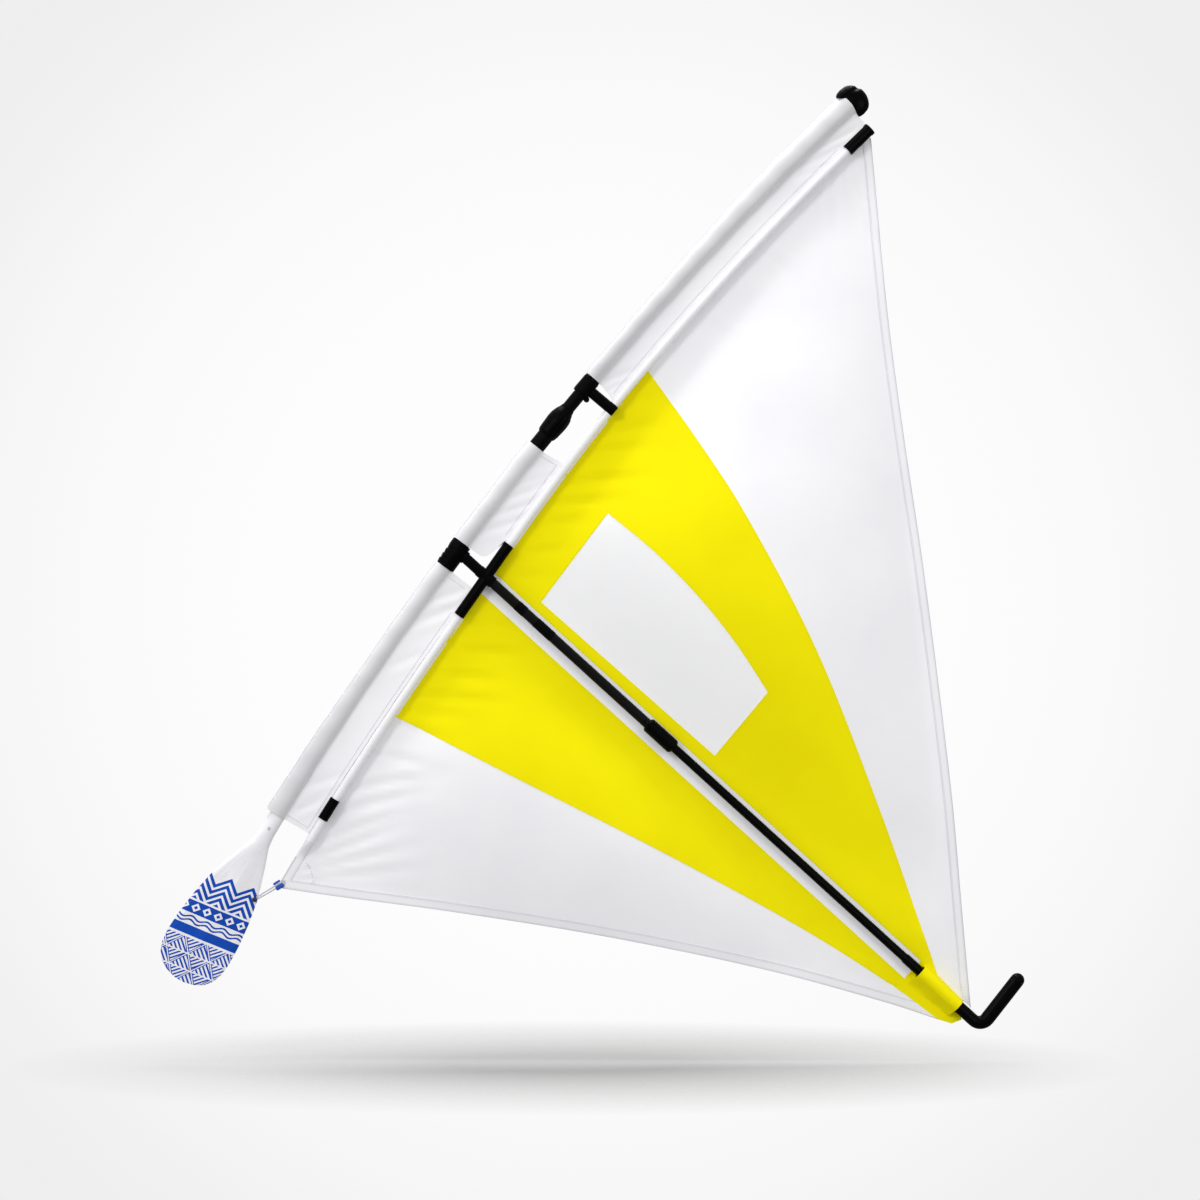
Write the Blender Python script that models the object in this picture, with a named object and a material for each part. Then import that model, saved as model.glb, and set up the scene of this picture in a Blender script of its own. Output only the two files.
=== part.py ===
"""Triangular canoe sail rigged on a paddle.

The paddle is the mast: its bent shaft runs through three cloth sleeves on the
luff of the sail. A slim luff spar lies in the luff hem, a telescoping boom runs
from the boom collar on the mast to the clew, and an angled handle at the clew
holds the sail out. Metres, +Z up. The sail lies in the XZ plane and is seen
from -Y. The origin is the middle of the mast at the boom collar.

Places on the rig are given as (station, offset): station runs along the bent
mast from the origin, offset is the distance from the mast line towards the
clew. Places on the boom are given as (along, rise) from where the boom meets
the mast.
"""

import math

import bmesh
import bpy
import numpy as np
from mathutils import Matrix, Vector
from mathutils.geometry import delaunay_2d_cdt

# General fits
FIT = 0.0003
CUT_OVERRUN = 0.004
CLOTH = 0.0012
SEAM_GAP = 0.0003

# Bent mast line
MAST_RAKE = math.radians(53.4)
MAST_BEND_CHORD = 2.0
MAST_BEND_RISE = 0.058543
MAST_BEND_RADIUS = MAST_BEND_CHORD**2 / (8.0 * MAST_BEND_RISE) + MAST_BEND_RISE / 2.0
STATION_STEP = 0.075

# Lower shaft of the paddle
LOWER_SHAFT_RADIUS = 0.021
LOWER_SHAFT_WALL = 0.0025
LOWER_SHAFT_FOOT = -0.760
LOWER_SHAFT_TOP = 0.400

# Upper shaft of the paddle, which slides in the lower one
UPPER_SHAFT_RADIUS = 0.0165
UPPER_SHAFT_WALL = 0.002
UPPER_SHAFT_FOOT = 0.225
UPPER_SHAFT_TOP = 1.520
BUSH_LENGTH = 0.040

# Blade
BLADE_NECK = -0.836
BLADE_LENGTH = 0.429
BLADE_HALF_WIDTH = 0.0887
BLADE_BACK = 0.004
BLADE_FRONT_EDGE = 0.003
BLADE_SPINE = 0.012
BLADE_SPINE_HALF_WIDTH = 0.022
BLADE_NECK_RADIUS = 0.020
BLADE_FLAT_FROM_SHARE = 0.42
BLADE_WIDTH_SHARES = (
    (0.0, 0.225), (0.07, 0.262), (0.17, 0.44), (0.28, 0.62), (0.38, 0.765), (0.52, 0.895),
    (0.66, 0.975), (0.78, 1.0), (0.86, 0.955), (0.915, 0.85), (0.955, 0.69), (0.983, 0.46), (1.0, 0.17),
)
BLADE_SEGMENTS = 24
FERRULE_RADIUS = 0.0165
FERRULE_WALL = 0.002
FERRULE_LENGTH = 0.070
SNAP_BUTTON_RADIUS = 0.0035
SNAP_BUTTON_PROUD = 0.0015
SNAP_BUTTON_DEPTH = 0.006
SNAP_BUTTON_DROP = 0.012
SNAP_BUTTON_TRAVEL = 0.0013

# Clamp that locks the upper shaft
CLAMP_GRASP = 0.023
CLAMP_FOOT = LOWER_SHAFT_TOP - CLAMP_GRASP
CLAMP_LENGTH = 0.088
CLAMP_BODY_RADIUS = 0.0278
CLAMP_BODY_SHARES = (
    (0.0, 0.81), (0.07, 0.905), (0.23, 0.945), (0.49, 1.0), (0.62, 0.98), (0.72, 0.925), (0.83, 0.81),
    (0.94, 0.665), (1.0, 0.64),
)
CLAMP_BARREL_RADIUS = 0.0232
CLAMP_SLIT = 0.004
CLAMP_RECESS_GAP = math.radians(2.5)
CLAMP_PIN_ROOM = math.radians(13.0)
LEVER_FOOT = 0.012
LEVER_LENGTH = 0.056
LEVER_PROUD = 0.0008
LEVER_FROM = math.radians(68.0)
LEVER_TO = math.radians(-72.0)
LEVER_PIN_ANGLE = math.radians(75.0)
LEVER_PIN_OFFSET = 0.0278
LEVER_PIN_RADIUS = 0.0018
LEVER_KNUCKLE_RADIUS = 0.0042
LEVER_KNUCKLE_LENGTH = 0.015
LUG_WEB = 0.0044

# Grip at the top of the paddle
GRIP_SOCKET_DEPTH = 0.0235
GRIP_BASE = UPPER_SHAFT_TOP - GRIP_SOCKET_DEPTH
GRIP_SHIFT = -0.0065
GRIP_HALF_WIDTH = 0.0425
GRIP_HALF_DEPTH = 0.0208
GRIP_HEIGHT = 0.0515
GRIP_SAG = 0.0080
GRIP_SAG_SHARES = (
    (-1.0, -0.55), (-0.72, -1.0), (-0.35, 0.5), (0.0, 0.85), (0.43, 0.45), (0.87, -0.05), (1.0, 0.0),
)
GRIP_GAP = 0.0010
GRIP_GROOVE = 0.0045
GRIP_GROOVE_SHARE = 0.2
GRIP_GROOVE_AT = -0.016
GRIP_GROOVE_HALF_WIDTH = 0.005
GRIP_STEM_LENGTH = 0.060
GRIP_PROFILE_SHARES = (
    (0.0, 0.91), (0.10, 0.975), (0.28, 1.0), (0.52, 0.965), (0.66, 0.90), (0.78, 0.77), (0.88, 0.59),
    (0.96, 0.38), (1.0, 0.2),
)
GRIP_SEGMENTS = 28

# Luff spar and its place beside the mast
SPAR_RADIUS = 0.008
SPAR_FOOT = -0.785
SPAR_JOINT = 0.010
SPAR_TOP_DROP = 0.0185
SPAR_TOP = GRIP_BASE - SPAR_TOP_DROP
LUFF_AT_TACK = 0.101
LUFF_AT_BOOM = 0.102
LUFF_AT_STRUT = 0.083
LUFF_AT_HEAD = 0.073
LUFF_STATION_TACK = -0.930
LUFF_STATION_BOOM = -0.110
LUFF_STATION_STRUT = 0.533
LUFF_HEAD_DROP = 0.0065
LUFF_STATION_HEAD = GRIP_BASE - LUFF_HEAD_DROP

# Boom collar with its neck
BOOM_STATION = 0.0138
COLLAR_BELOW = 0.0508
COLLAR_FOOT = BOOM_STATION - COLLAR_BELOW
COLLAR_LENGTH = 0.073
COLLAR_WALL = 0.0042
COLLAR_SHIFT = 0.0010
COLLAR_NOTCH = 0.0024
COLLAR_TEETH = 4
COLLAR_TOOTHED_SHARE = 0.76
COLLAR_TOOTH_SPREAD = math.radians(62.0)
COLLAR_BOSS_RADIUS = 0.0165
COLLAR_BOSS_REACH = 0.0050
NECK_RADIUS = 0.01375
NECK_BORE = 0.0105
NECK_BORE_DEPTH = 0.020

# Cross fitting on the luff spar
CROSS_BELOW = 0.1298
CROSS_ABOVE = 0.0902
CROSS_FOOT = BOOM_STATION - CROSS_BELOW
CROSS_TOP = BOOM_STATION + CROSS_ABOVE
CROSS_RADIUS = 0.01375
CROSS_HUB_RADIUS = 0.0150
CROSS_HUB_REACH = 0.0240
CROSS_SPIGOT_LENGTH = 0.016
CROSS_BOOM_SPIGOT_LENGTH = 0.040

# Boom
BOOM_ANGLE = math.radians(95.6)
BOOM_FRONT_RADIUS = 0.0125
BOOM_FRONT_BORE = 0.0112
BOOM_FRONT_END = 0.655
BOOM_REAR_RADIUS = 0.0109
BOOM_REAR_BORE = 0.0096
BOOM_REAR_START = 0.520
BOOM_BAND_RADIUS = 0.0132
BOOM_INNER_BAND_AT = 0.204
BOOM_INNER_BAND_LENGTH = 0.028
BOOM_OUTER_BAND_AT = 0.268
BOOM_OUTER_BAND_LENGTH = 0.056
BOOM_RIVET_AT = 0.636
BOOM_RIVET_RADIUS = 0.0028
BOOM_RIVET_PROUD = 0.0015
BOOM_RIVET_HOLE = BOOM_RIVET_RADIUS + FIT

# Twist lock between the boom tubes
LOCK_START = 0.6455
LOCK_LENGTH = 0.090
LOCK_RADIUS = 0.0190
LOCK_ROUND = 0.0050
LOCK_WINGS = 12
LOCK_WING_DEPTH = 0.0008
COLLET_START = 0.6560
COLLET_LENGTH = 0.060
COLLET_RADIUS = 0.0138
LOCK_LIP_BORE = 0.0129
LOCK_LIP = 0.006

# Boom end socket and handle
CLEW_ALONG = 1.6964
END_SOCKET_BACK = 0.1804
END_SOCKET_LENGTH = 0.0480
END_SOCKET_START = CLEW_ALONG - END_SOCKET_BACK
END_SOCKET_END = END_SOCKET_START + END_SOCKET_LENGTH
END_SOCKET_RADIUS = 0.0126
HANDLE_RADIUS = 0.0156
HANDLE_STANDOFF = 0.0020
HANDLE_START = END_SOCKET_END + HANDLE_STANDOFF
HANDLE_SPIGOT_RADIUS = 0.0093
HANDLE_SPIGOT_LENGTH = 0.060
HANDLE_TURN_PAST = 0.0736
HANDLE_TURN_AT = CLEW_ALONG + HANDLE_TURN_PAST
HANDLE_BEND_RADIUS = 0.024
HANDLE_LEAN = math.radians(4.3)
HANDLE_LEG_RADIUS = 0.0182
HANDLE_REACH = 0.164

# Fittings on the luff spar
STRUT_STATION = 0.533
STRUT_RADIUS = 0.01375
STRUT_END = 0.0955
UPPER_COLLAR_BELOW = 0.022
UPPER_COLLAR_FOOT = STRUT_STATION - UPPER_COLLAR_BELOW
UPPER_COLLAR_LENGTH = 0.051
UPPER_COLLAR_WALL = 0.0050
UPPER_COLLAR_SHARES = ((0.0, 0.965), (0.08, 0.965), (0.09, 1.0), (0.86, 1.0), (0.95, 0.965), (1.0, 0.90))
UPPER_COLLAR_LUG_RADIUS = 0.0075
UPPER_COLLAR_LUG_DROP = 0.0215
HEAD_SOCKET_DROP = 0.0795
HEAD_SOCKET_FOOT = GRIP_BASE - HEAD_SOCKET_DROP
HEAD_SOCKET_LENGTH = 0.0700
HEAD_SOCKET_RADIUS = 0.0152
HEAD_CAP_RADIUS = 0.0163
HEAD_CAP_LENGTH = 0.009
TACK_COLLAR_FOOT = -0.736
TACK_COLLAR_LENGTH = 0.060
TACK_COLLAR_RADIUS = 0.0128

# Cloth hems and sleeves
CLOTH_CLEARANCE = 0.0007
HEM_RADIUS = 0.0102
HEM_EDGE = 0.0105
HEM_THICKNESS = 0.0026
CLOTH_BACKSET = LOCK_RADIUS + HEM_THICKNESS / 2.0 + CLOTH_CLEARANCE
HEM_FOOT = -0.802
LEECH_HEM_WIDTH = 0.021
FOOT_HEM_WIDTH = 0.023
SLEEVE_INNER_RADIUS = 0.0214
UPPER_SLEEVE_INNER_RADIUS = 0.0205
SLEEVE_WEB = 0.0020
SLEEVE_FILLET = 0.010
SLEEVE_WEB_SHARES = (0.0, 0.5, 0.8, 1.0)
SLEEVE_STRAIGHT_POWER = 1.3
SLEEVE_NOTCHED_POWER = 8.0
SLEEVE_SLACK = 0.0150
SLEEVE_SLACK_SHARES = (
    (-0.785, 0.53), (-0.65, 0.38), (-0.53, 0.24), (-0.41, 0.03), (-0.2, 0.0), (0.15, 0.0), (0.31, 0.2),
    (0.61, 0.05), (0.79, 0.22), (0.91, 0.42), (1.09, 0.73), (1.21, 0.92), (1.45, 1.0),
)
LOWER_SLEEVE_FOOT = -0.785
LOWER_SLEEVE_GAP = 0.0008
LOWER_SLEEVE_GAP_AT_HEM = 0.0025
LOWER_SLEEVE_TOP = COLLAR_FOOT - LOWER_SLEEVE_GAP
LOWER_SLEEVE_TOP_AT_HEM = COLLAR_FOOT - LOWER_SLEEVE_GAP_AT_HEM
MIDDLE_SLEEVE_GAP = 0.0015
MIDDLE_SLEEVE_FOOT = COLLAR_FOOT + COLLAR_LENGTH + MIDDLE_SLEEVE_GAP
MIDDLE_SLEEVE_FOOT_AT_HEM = CROSS_TOP
MIDDLE_SLEEVE_TOP_GAP = 0.037
MIDDLE_SLEEVE_TOP_GAP_AT_HEM = 0.0265
MIDDLE_SLEEVE_TOP = CLAMP_FOOT - MIDDLE_SLEEVE_TOP_GAP
MIDDLE_SLEEVE_TOP_AT_HEM = CLAMP_FOOT - MIDDLE_SLEEVE_TOP_GAP_AT_HEM
UPPER_SLEEVE_GAP = 0.0005
UPPER_SLEEVE_FOOT = UPPER_COLLAR_FOOT + UPPER_COLLAR_LENGTH + UPPER_SLEEVE_GAP
UPPER_SLEEVE_GAP_AT_HEM = 0.020
UPPER_SLEEVE_FOOT_AT_HEM = STRUT_STATION + UPPER_SLEEVE_GAP_AT_HEM
UPPER_SLEEVE_TOP = GRIP_BASE - GRIP_GAP

# Sail outline
TACK_STATION = -0.943
TACK_OFFSET = 0.0985
TACK_HEM_CORNER = -0.932
SAIL_HEAD_DROP = 0.0125
HEAD_STATION = GRIP_BASE - SAIL_HEAD_DROP
HEAD_OFFSET = 0.0915
LEECH_END_PAST = 0.0273
LEECH_END_ALONG = CLEW_ALONG + LEECH_END_PAST
LEECH_END_RISE = 0.0191
FOOT_END_BACK = 0.0144
FOOT_END_ALONG = CLEW_ALONG - FOOT_END_BACK
FOOT_END_RISE = -0.0593
LEECH_BOW = 0.0135
LEECH_BOW_SHARES = ((0.0, 0.0), (0.2, -0.62), (0.35, -0.2), (0.5, 0.6), (0.75, 1.0), (0.9, 0.4), (1.0, 0.0))
FOOT_HOLLOW = 0.041
FOOT_HOLLOW_SHARES = ((0.0, 0.0), (0.085, 0.18), (0.26, 0.64), (0.5, 1.0), (0.74, 0.90), (0.92, 0.39), (1.0, 0.0))
SAIL_CAMBER = 0.090
SAIL_FLAT_SHARE = 0.06
BOOM_CREASE_WIDTH = 0.22
CLOTH_GRID = 0.105
SEAM_STEP = 0.070

# Seams between the panels
YELLOW_TOP = 0.668
YELLOW_FOOT = -0.419
YELLOW_END_BACK = 0.0884
YELLOW_END_ALONG = CLEW_ALONG - YELLOW_END_BACK
YELLOW_END_RISE = 0.0224
YELLOW_BOW = 0.0755
YELLOW_BOW_SHARES = ((0.0, 0.0), (0.108, 0.41), (0.25, 0.81), (0.48, 1.0), (0.74, 0.63), (0.93, 0.19), (1.0, 0.0))
LOWER_BOW = 0.0330
LOWER_BOW_SHARES = ((0.0, 0.0), (0.2, 0.42), (0.48, 0.94), (0.74, 1.0), (0.92, 0.52), (1.0, 0.0))
STRIP_ABOVE = 0.021
STRIP_BELOW = 0.039
STRIP_END_BACK = 0.1444
STRIP_END = CLEW_ALONG - STRIP_END_BACK
WINDOW_LEFT_ALONG = 0.244
WINDOW_LEFT_RISE = 0.046
WINDOW_BOTTOM_ALONG = 0.825
WINDOW_BOTTOM_RISE = 0.054
WINDOW_RIGHT_ALONG = 0.813
WINDOW_RIGHT_RISE = 0.260
WINDOW_TOP_ALONG = 0.218
WINDOW_TOP_RISE = 0.323
WINDOW_BOW = 0.029
WINDOW_BOW_SHARES = ((0.0, 0.0), (0.25, 0.75), (0.5, 1.0), (0.75, 0.75), (1.0, 0.0))

# Clew pocket
PATCH_MOUTH_ALONG = CLEW_ALONG
PATCH_MOUTH_RISE = 0.0182
PATCH_TIP_PAST = 0.0311
PATCH_TIP_ALONG = PATCH_MOUTH_ALONG + PATCH_TIP_PAST
PATCH_NOTCH_DROP = HANDLE_LEG_RADIUS + CLOTH_CLEARANCE
PATCH_CORNER_PAST = 0.0196
PATCH_CORNER_ALONG = PATCH_MOUTH_ALONG + PATCH_CORNER_PAST
PATCH_CORNER_DROP = 0.043
POCKET_LENGTH = 0.1280
POCKET_STANDOFF = 0.0009
POCKET_END = PATCH_MOUTH_ALONG - POCKET_STANDOFF
POCKET_START = POCKET_END - POCKET_LENGTH
POCKET_FLANGE = 0.007
POCKET_MOUTH_FLANGE = 0.0015

# Tack grommet and downhaul
GROMMET_STATION = -0.9270
GROMMET_OFFSET = 0.0975
GROMMET_RADIUS = 0.0062
GROMMET_BORE = 0.0034
GROMMET_RIM = 0.0010
TIE_HOLE_ALONG = 0.160
TIE_HOLE_MARGIN = 0.0071
TIE_RADIUS = 0.0018
TIE_HOLE_RADIUS = TIE_RADIUS + FIT
TIE_KNOT_RADIUS = 0.0062
TIE_KNOT_FLATNESS = 0.0044
TIE_KNOT_STANDOFF = 0.0009
TIE_STRAND_GAP = 0.0050

# Faces round each turned piece
SHAFT_SEGMENTS = 20
TUBE_SEGMENTS = 16
SMALL_SEGMENTS = 12
SLEEVE_SEGMENTS = 18


def clear_scene():
    for item in list(bpy.data.objects):
        bpy.data.objects.remove(item, do_unlink=True)


def plastic(name, colour, roughness, metallic=0.0):
    material = bpy.data.materials.new(name)
    material.use_nodes = True
    shader = material.node_tree.nodes["Principled BSDF"]
    shader.inputs["Base Color"].default_value = (*colour, 1.0)
    shader.inputs["Roughness"].default_value = roughness
    shader.inputs["Metallic"].default_value = metallic
    material.diffuse_color = (*colour, 1.0)
    return material


# Places on the rig

def mast_angle(station):
    return MAST_RAKE - station / MAST_BEND_RADIUS


def mast_up(station):
    angle = mast_angle(station)
    return Vector((math.cos(angle), 0.0, math.sin(angle)))


def mast_inward(station):
    angle = mast_angle(station)
    return Vector((math.sin(angle), 0.0, -math.cos(angle)))


BACKWARD = Vector((0.0, 1.0, 0.0))
BEND_CENTRE = mast_inward(0.0) * MAST_BEND_RADIUS


def rig_point(station, offset, depth=0.0):
    place = BEND_CENTRE - mast_inward(station) * (MAST_BEND_RADIUS - offset)
    return place + BACKWARD * depth


def rig_coords(x, z):
    """Station and offset of a place in the sail plane."""
    from_centre = Vector((x, 0.0, z)) - BEND_CENTRE
    angle = math.atan2(-from_centre.x, from_centre.z)
    return (MAST_RAKE - angle) * MAST_BEND_RADIUS, MAST_BEND_RADIUS - from_centre.length


def smooth_table(table, at):
    """Value of a smooth curve through a table of (place, value)."""
    places = [row[0] for row in table]
    values = [row[1] for row in table]
    last = len(table) - 1
    slopes = []
    for i in range(len(table)):
        low, high = max(i - 1, 0), min(i + 1, last)
        slopes.append((values[high] - values[low]) / (places[high] - places[low]))
    if at <= places[0]:
        return values[0] + slopes[0] * (at - places[0])
    if at >= places[-1]:
        return values[-1] + slopes[-1] * (at - places[-1])
    i = max(k for k in range(last) if places[k] <= at)
    span = places[i + 1] - places[i]
    t = (at - places[i]) / span
    rise = (2 * t**3 - 3 * t**2 + 1) * values[i] + (3 * t**2 - 2 * t**3) * values[i + 1]
    bend = (t**3 - 2 * t**2 + t) * slopes[i] + (t**3 - t**2) * slopes[i + 1]
    return rise + bend * span


def luff_offset(station):
    table = (
        (LUFF_STATION_TACK, LUFF_AT_TACK),
        (LUFF_STATION_BOOM, LUFF_AT_BOOM),
        (LUFF_STATION_STRUT, LUFF_AT_STRUT),
        (LUFF_STATION_HEAD, LUFF_AT_HEAD),
    )
    return smooth_table(table, station)


BOOM_ROOT = rig_point(BOOM_STATION, 0.0)
BOOM_OUT = mast_up(BOOM_STATION) * math.cos(BOOM_ANGLE) + mast_inward(BOOM_STATION) * math.sin(BOOM_ANGLE)
BOOM_RISE = BOOM_OUT.cross(BACKWARD)


def boom_point(along, rise, depth=0.0):
    return BOOM_ROOT + BOOM_OUT * along + BOOM_RISE * rise + BACKWARD * depth


def boom_coords(x, z):
    from_root = Vector((x, 0.0, z)) - BOOM_ROOT
    return from_root.dot(BOOM_OUT), from_root.dot(BOOM_RISE)


def stations_between(low, high, step=STATION_STEP):
    count = max(1, round((high - low) / step))
    return [low + (high - low) * i / count for i in range(count + 1)]


def frame(origin, x_axis, y_axis, z_axis):
    columns = Matrix((x_axis, y_axis, z_axis)).transposed().to_4x4()
    columns.translation = origin
    return columns


def mast_frame(station, offset=0.0):
    """Local X towards the clew, Y backward, Z up the mast."""
    return frame(rig_point(station, offset), mast_inward(station), BACKWARD, mast_up(station))


def chord_frame(low, high, offset_at):
    """Local Z along the chord between two stations of a line beside the mast."""
    start = rig_point(low, offset_at(low))
    up = (rig_point(high, offset_at(high)) - start).normalized()
    return frame(start, BACKWARD.cross(up), BACKWARD, up)


def boom_frame(along):
    """Local X down across the boom, Y backward, Z outward along the boom."""
    return frame(boom_point(along, 0.0), -BOOM_RISE, BACKWARD, BOOM_OUT)


# Meshes

def add_object(name, mesh_data, material, origin=None, smooth=35.0):
    """Makes one object; its own origin is moved to the joint axis where one is given."""
    bmesh.ops.recalc_face_normals(mesh_data, faces=mesh_data.faces)
    shift = Vector((0.0, 0.0, 0.0)) if origin is None else Vector(origin)
    for vertex in mesh_data.verts:
        vertex.co -= shift
    mesh = bpy.data.meshes.new(name)
    mesh_data.to_mesh(mesh)
    mesh_data.free()
    mesh.materials.append(material)
    mesh.shade_smooth()
    mesh.set_sharp_from_angle(angle=math.radians(smooth))
    item = bpy.data.objects.new(name, mesh)
    item.location = shift
    bpy.context.scene.collection.objects.link(item)
    return item


def cut(target, tool, operation="DIFFERENCE"):
    tool.hide_render = True
    tool.display_type = "WIRE"
    change = target.modifiers.new(tool.name, "BOOLEAN")
    change.operation = operation
    change.object = tool
    change.solver = "EXACT"


def circle(radius, segments, start=0.0):
    turn = 2.0 * math.pi / segments
    return [(radius * math.cos(start + turn * i), radius * math.sin(start + turn * i)) for i in range(segments)]


def inside(point, loop):
    hit = False
    count = len(loop)
    for i in range(count):
        ax, ay = loop[i][0], loop[i][1]
        bx, by = loop[(i + 1) % count][0], loop[(i + 1) % count][1]
        if (ay > point[1]) != (by > point[1]):
            if point[0] < ax + (point[1] - ay) * (bx - ax) / (by - ay):
                hit = not hit
    return hit


def fill(outer, inner=(), extra=()):
    """Triangles over an outline, with an optional hole and inner points."""
    points = [Vector(p) for p in list(outer) + list(inner) + list(extra)]
    edges = [(i, (i + 1) % len(outer)) for i in range(len(outer))]
    base = len(outer)
    edges += [(base + i, base + (i + 1) % len(inner)) for i in range(len(inner))]
    made = delaunay_2d_cdt(points, edges, [], 1, 1e-9)
    back = [sources[0] for sources in made[3]]
    keep = []
    for face in made[2]:
        middle = sum((made[0][k] for k in face), Vector((0.0, 0.0))) / len(face)
        if not (inner and inside(middle, inner)):
            keep.append([back[k] for k in face])
    return keep


def bridge(mesh_data, rings):
    for low, high in zip(rings, rings[1:]):
        count = len(low)
        for i in range(count):
            k = (i + 1) % count
            mesh_data.faces.new((low[i], low[k], high[k], high[i]))


def swept(place, stations, outer_at, inner_at=None):
    """Solid through sections of (across, depth) points; place turns them into the world."""
    mesh_data = bmesh.new()
    outer = [[mesh_data.verts.new(place(s, a, b)) for a, b in outer_at(s)] for s in stations]
    inner = []
    bridge(mesh_data, outer)
    if inner_at is not None:
        inner = [[mesh_data.verts.new(place(s, a, b)) for a, b in inner_at(s)] for s in stations]
        bridge(mesh_data, [list(reversed(ring)) for ring in inner])
    for end, flip in ((0, True), (-1, False)):
        hole = inner_at(stations[end]) if inner_at is not None else ()
        verts = outer[end] + (inner[end] if inner else [])
        for face in fill(outer_at(stations[end]), hole):
            mesh_data.faces.new([verts[k] for k in (reversed(face) if flip else face)])
    return mesh_data


def rig_place(offset_at):
    """Places a section round a line that runs beside the mast."""
    return lambda station, across, depth: rig_point(station, offset_at(station) + across, depth)


def boom_place(along, across, depth):
    return boom_point(along, -across, depth)


def mast_line(station):
    return 0.0


def tube(place, stations, radius, bore=0.0, segments=TUBE_SEGMENTS):
    outer = circle(radius, segments)
    if bore <= 0.0:
        return swept(place, stations, lambda s: outer)
    inner = circle(bore, segments)
    return swept(place, stations, lambda s: outer, lambda s: inner)


def turned(profile, matrix, segments):
    """Revolves (radius, height) points about local Z; a zero radius closes on the axis."""
    mesh_data = bmesh.new()
    rings = []
    for radius, height in profile:
        if radius == 0.0:
            rings.append([mesh_data.verts.new((0.0, 0.0, height))])
        else:
            rings.append([mesh_data.verts.new((x, y, height)) for x, y in circle(radius, segments)])
    closed = len(rings[0]) > 1
    pairs = list(zip(rings, rings[1:])) + ([(rings[-1], rings[0])] if closed else [])
    for low, high in pairs:
        for i in range(segments):
            k = (i + 1) % segments
            if len(low) == 1:
                mesh_data.faces.new((low[0], high[k], high[i]))
            elif len(high) == 1:
                mesh_data.faces.new((low[i], low[k], high[0]))
            else:
                mesh_data.faces.new((low[i], low[k], high[k], high[i]))
    mesh_data.transform(matrix)
    return mesh_data


def block(x_size, y_size, z_size):
    mesh_data = bmesh.new()
    bmesh.ops.create_cube(mesh_data, size=1.0)
    mesh_data.transform(Matrix.Diagonal((x_size, y_size, z_size, 1.0)))
    return mesh_data


def ring_profile(bore, radius, low, high):
    return [(bore, low), (radius, low), (radius, high), (bore, high)]


def rod_profile(radius, low, high):
    return [(0.0, low), (radius, low), (radius, high), (0.0, high)]


# Paddle

def blade_half_width(share):
    return BLADE_HALF_WIDTH * smooth_table(BLADE_WIDTH_SHARES, share)


def blade_depth(share, cosine, sine):
    """Depth of the blade's surface: round at the neck, flat behind and ridged in front below it."""
    flatness = min(1.0, share / BLADE_FLAT_FROM_SHARE)
    flatness = flatness * flatness * (3.0 - 2.0 * flatness)
    edge_share = min(1.0, (1.0 - abs(cosine)) / (1.0 - math.cos(math.pi / 6.0)))
    if sine >= 0.0:
        flat_depth = BLADE_BACK * edge_share
    else:
        spine = BLADE_SPINE * max(0.0, 1.0 - share) * flatness
        ridge = math.exp(-((blade_half_width(share) * cosine / BLADE_SPINE_HALF_WIDTH) ** 2))
        flat_depth = -BLADE_FRONT_EDGE * edge_share - spine * ridge
    return BLADE_NECK_RADIUS * sine * (1.0 - flatness) + flat_depth * flatness


def blade_ring(share):
    """Outline of the blade at a share of its length: (side, depth) points."""
    width = blade_half_width(share)
    return [(width * x, blade_depth(share, x, y)) for x, y in circle(1.0, BLADE_SEGMENTS)]


def tie_hole_side():
    """Distance of the tie hole from the blade's middle line."""
    return blade_half_width(TIE_HOLE_ALONG / BLADE_LENGTH) - TIE_HOLE_MARGIN


def blade_matrix():
    """Local X to the blade's clew side, Y backward, Z from the tip up to the neck."""
    return mast_frame(BLADE_NECK)


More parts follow.
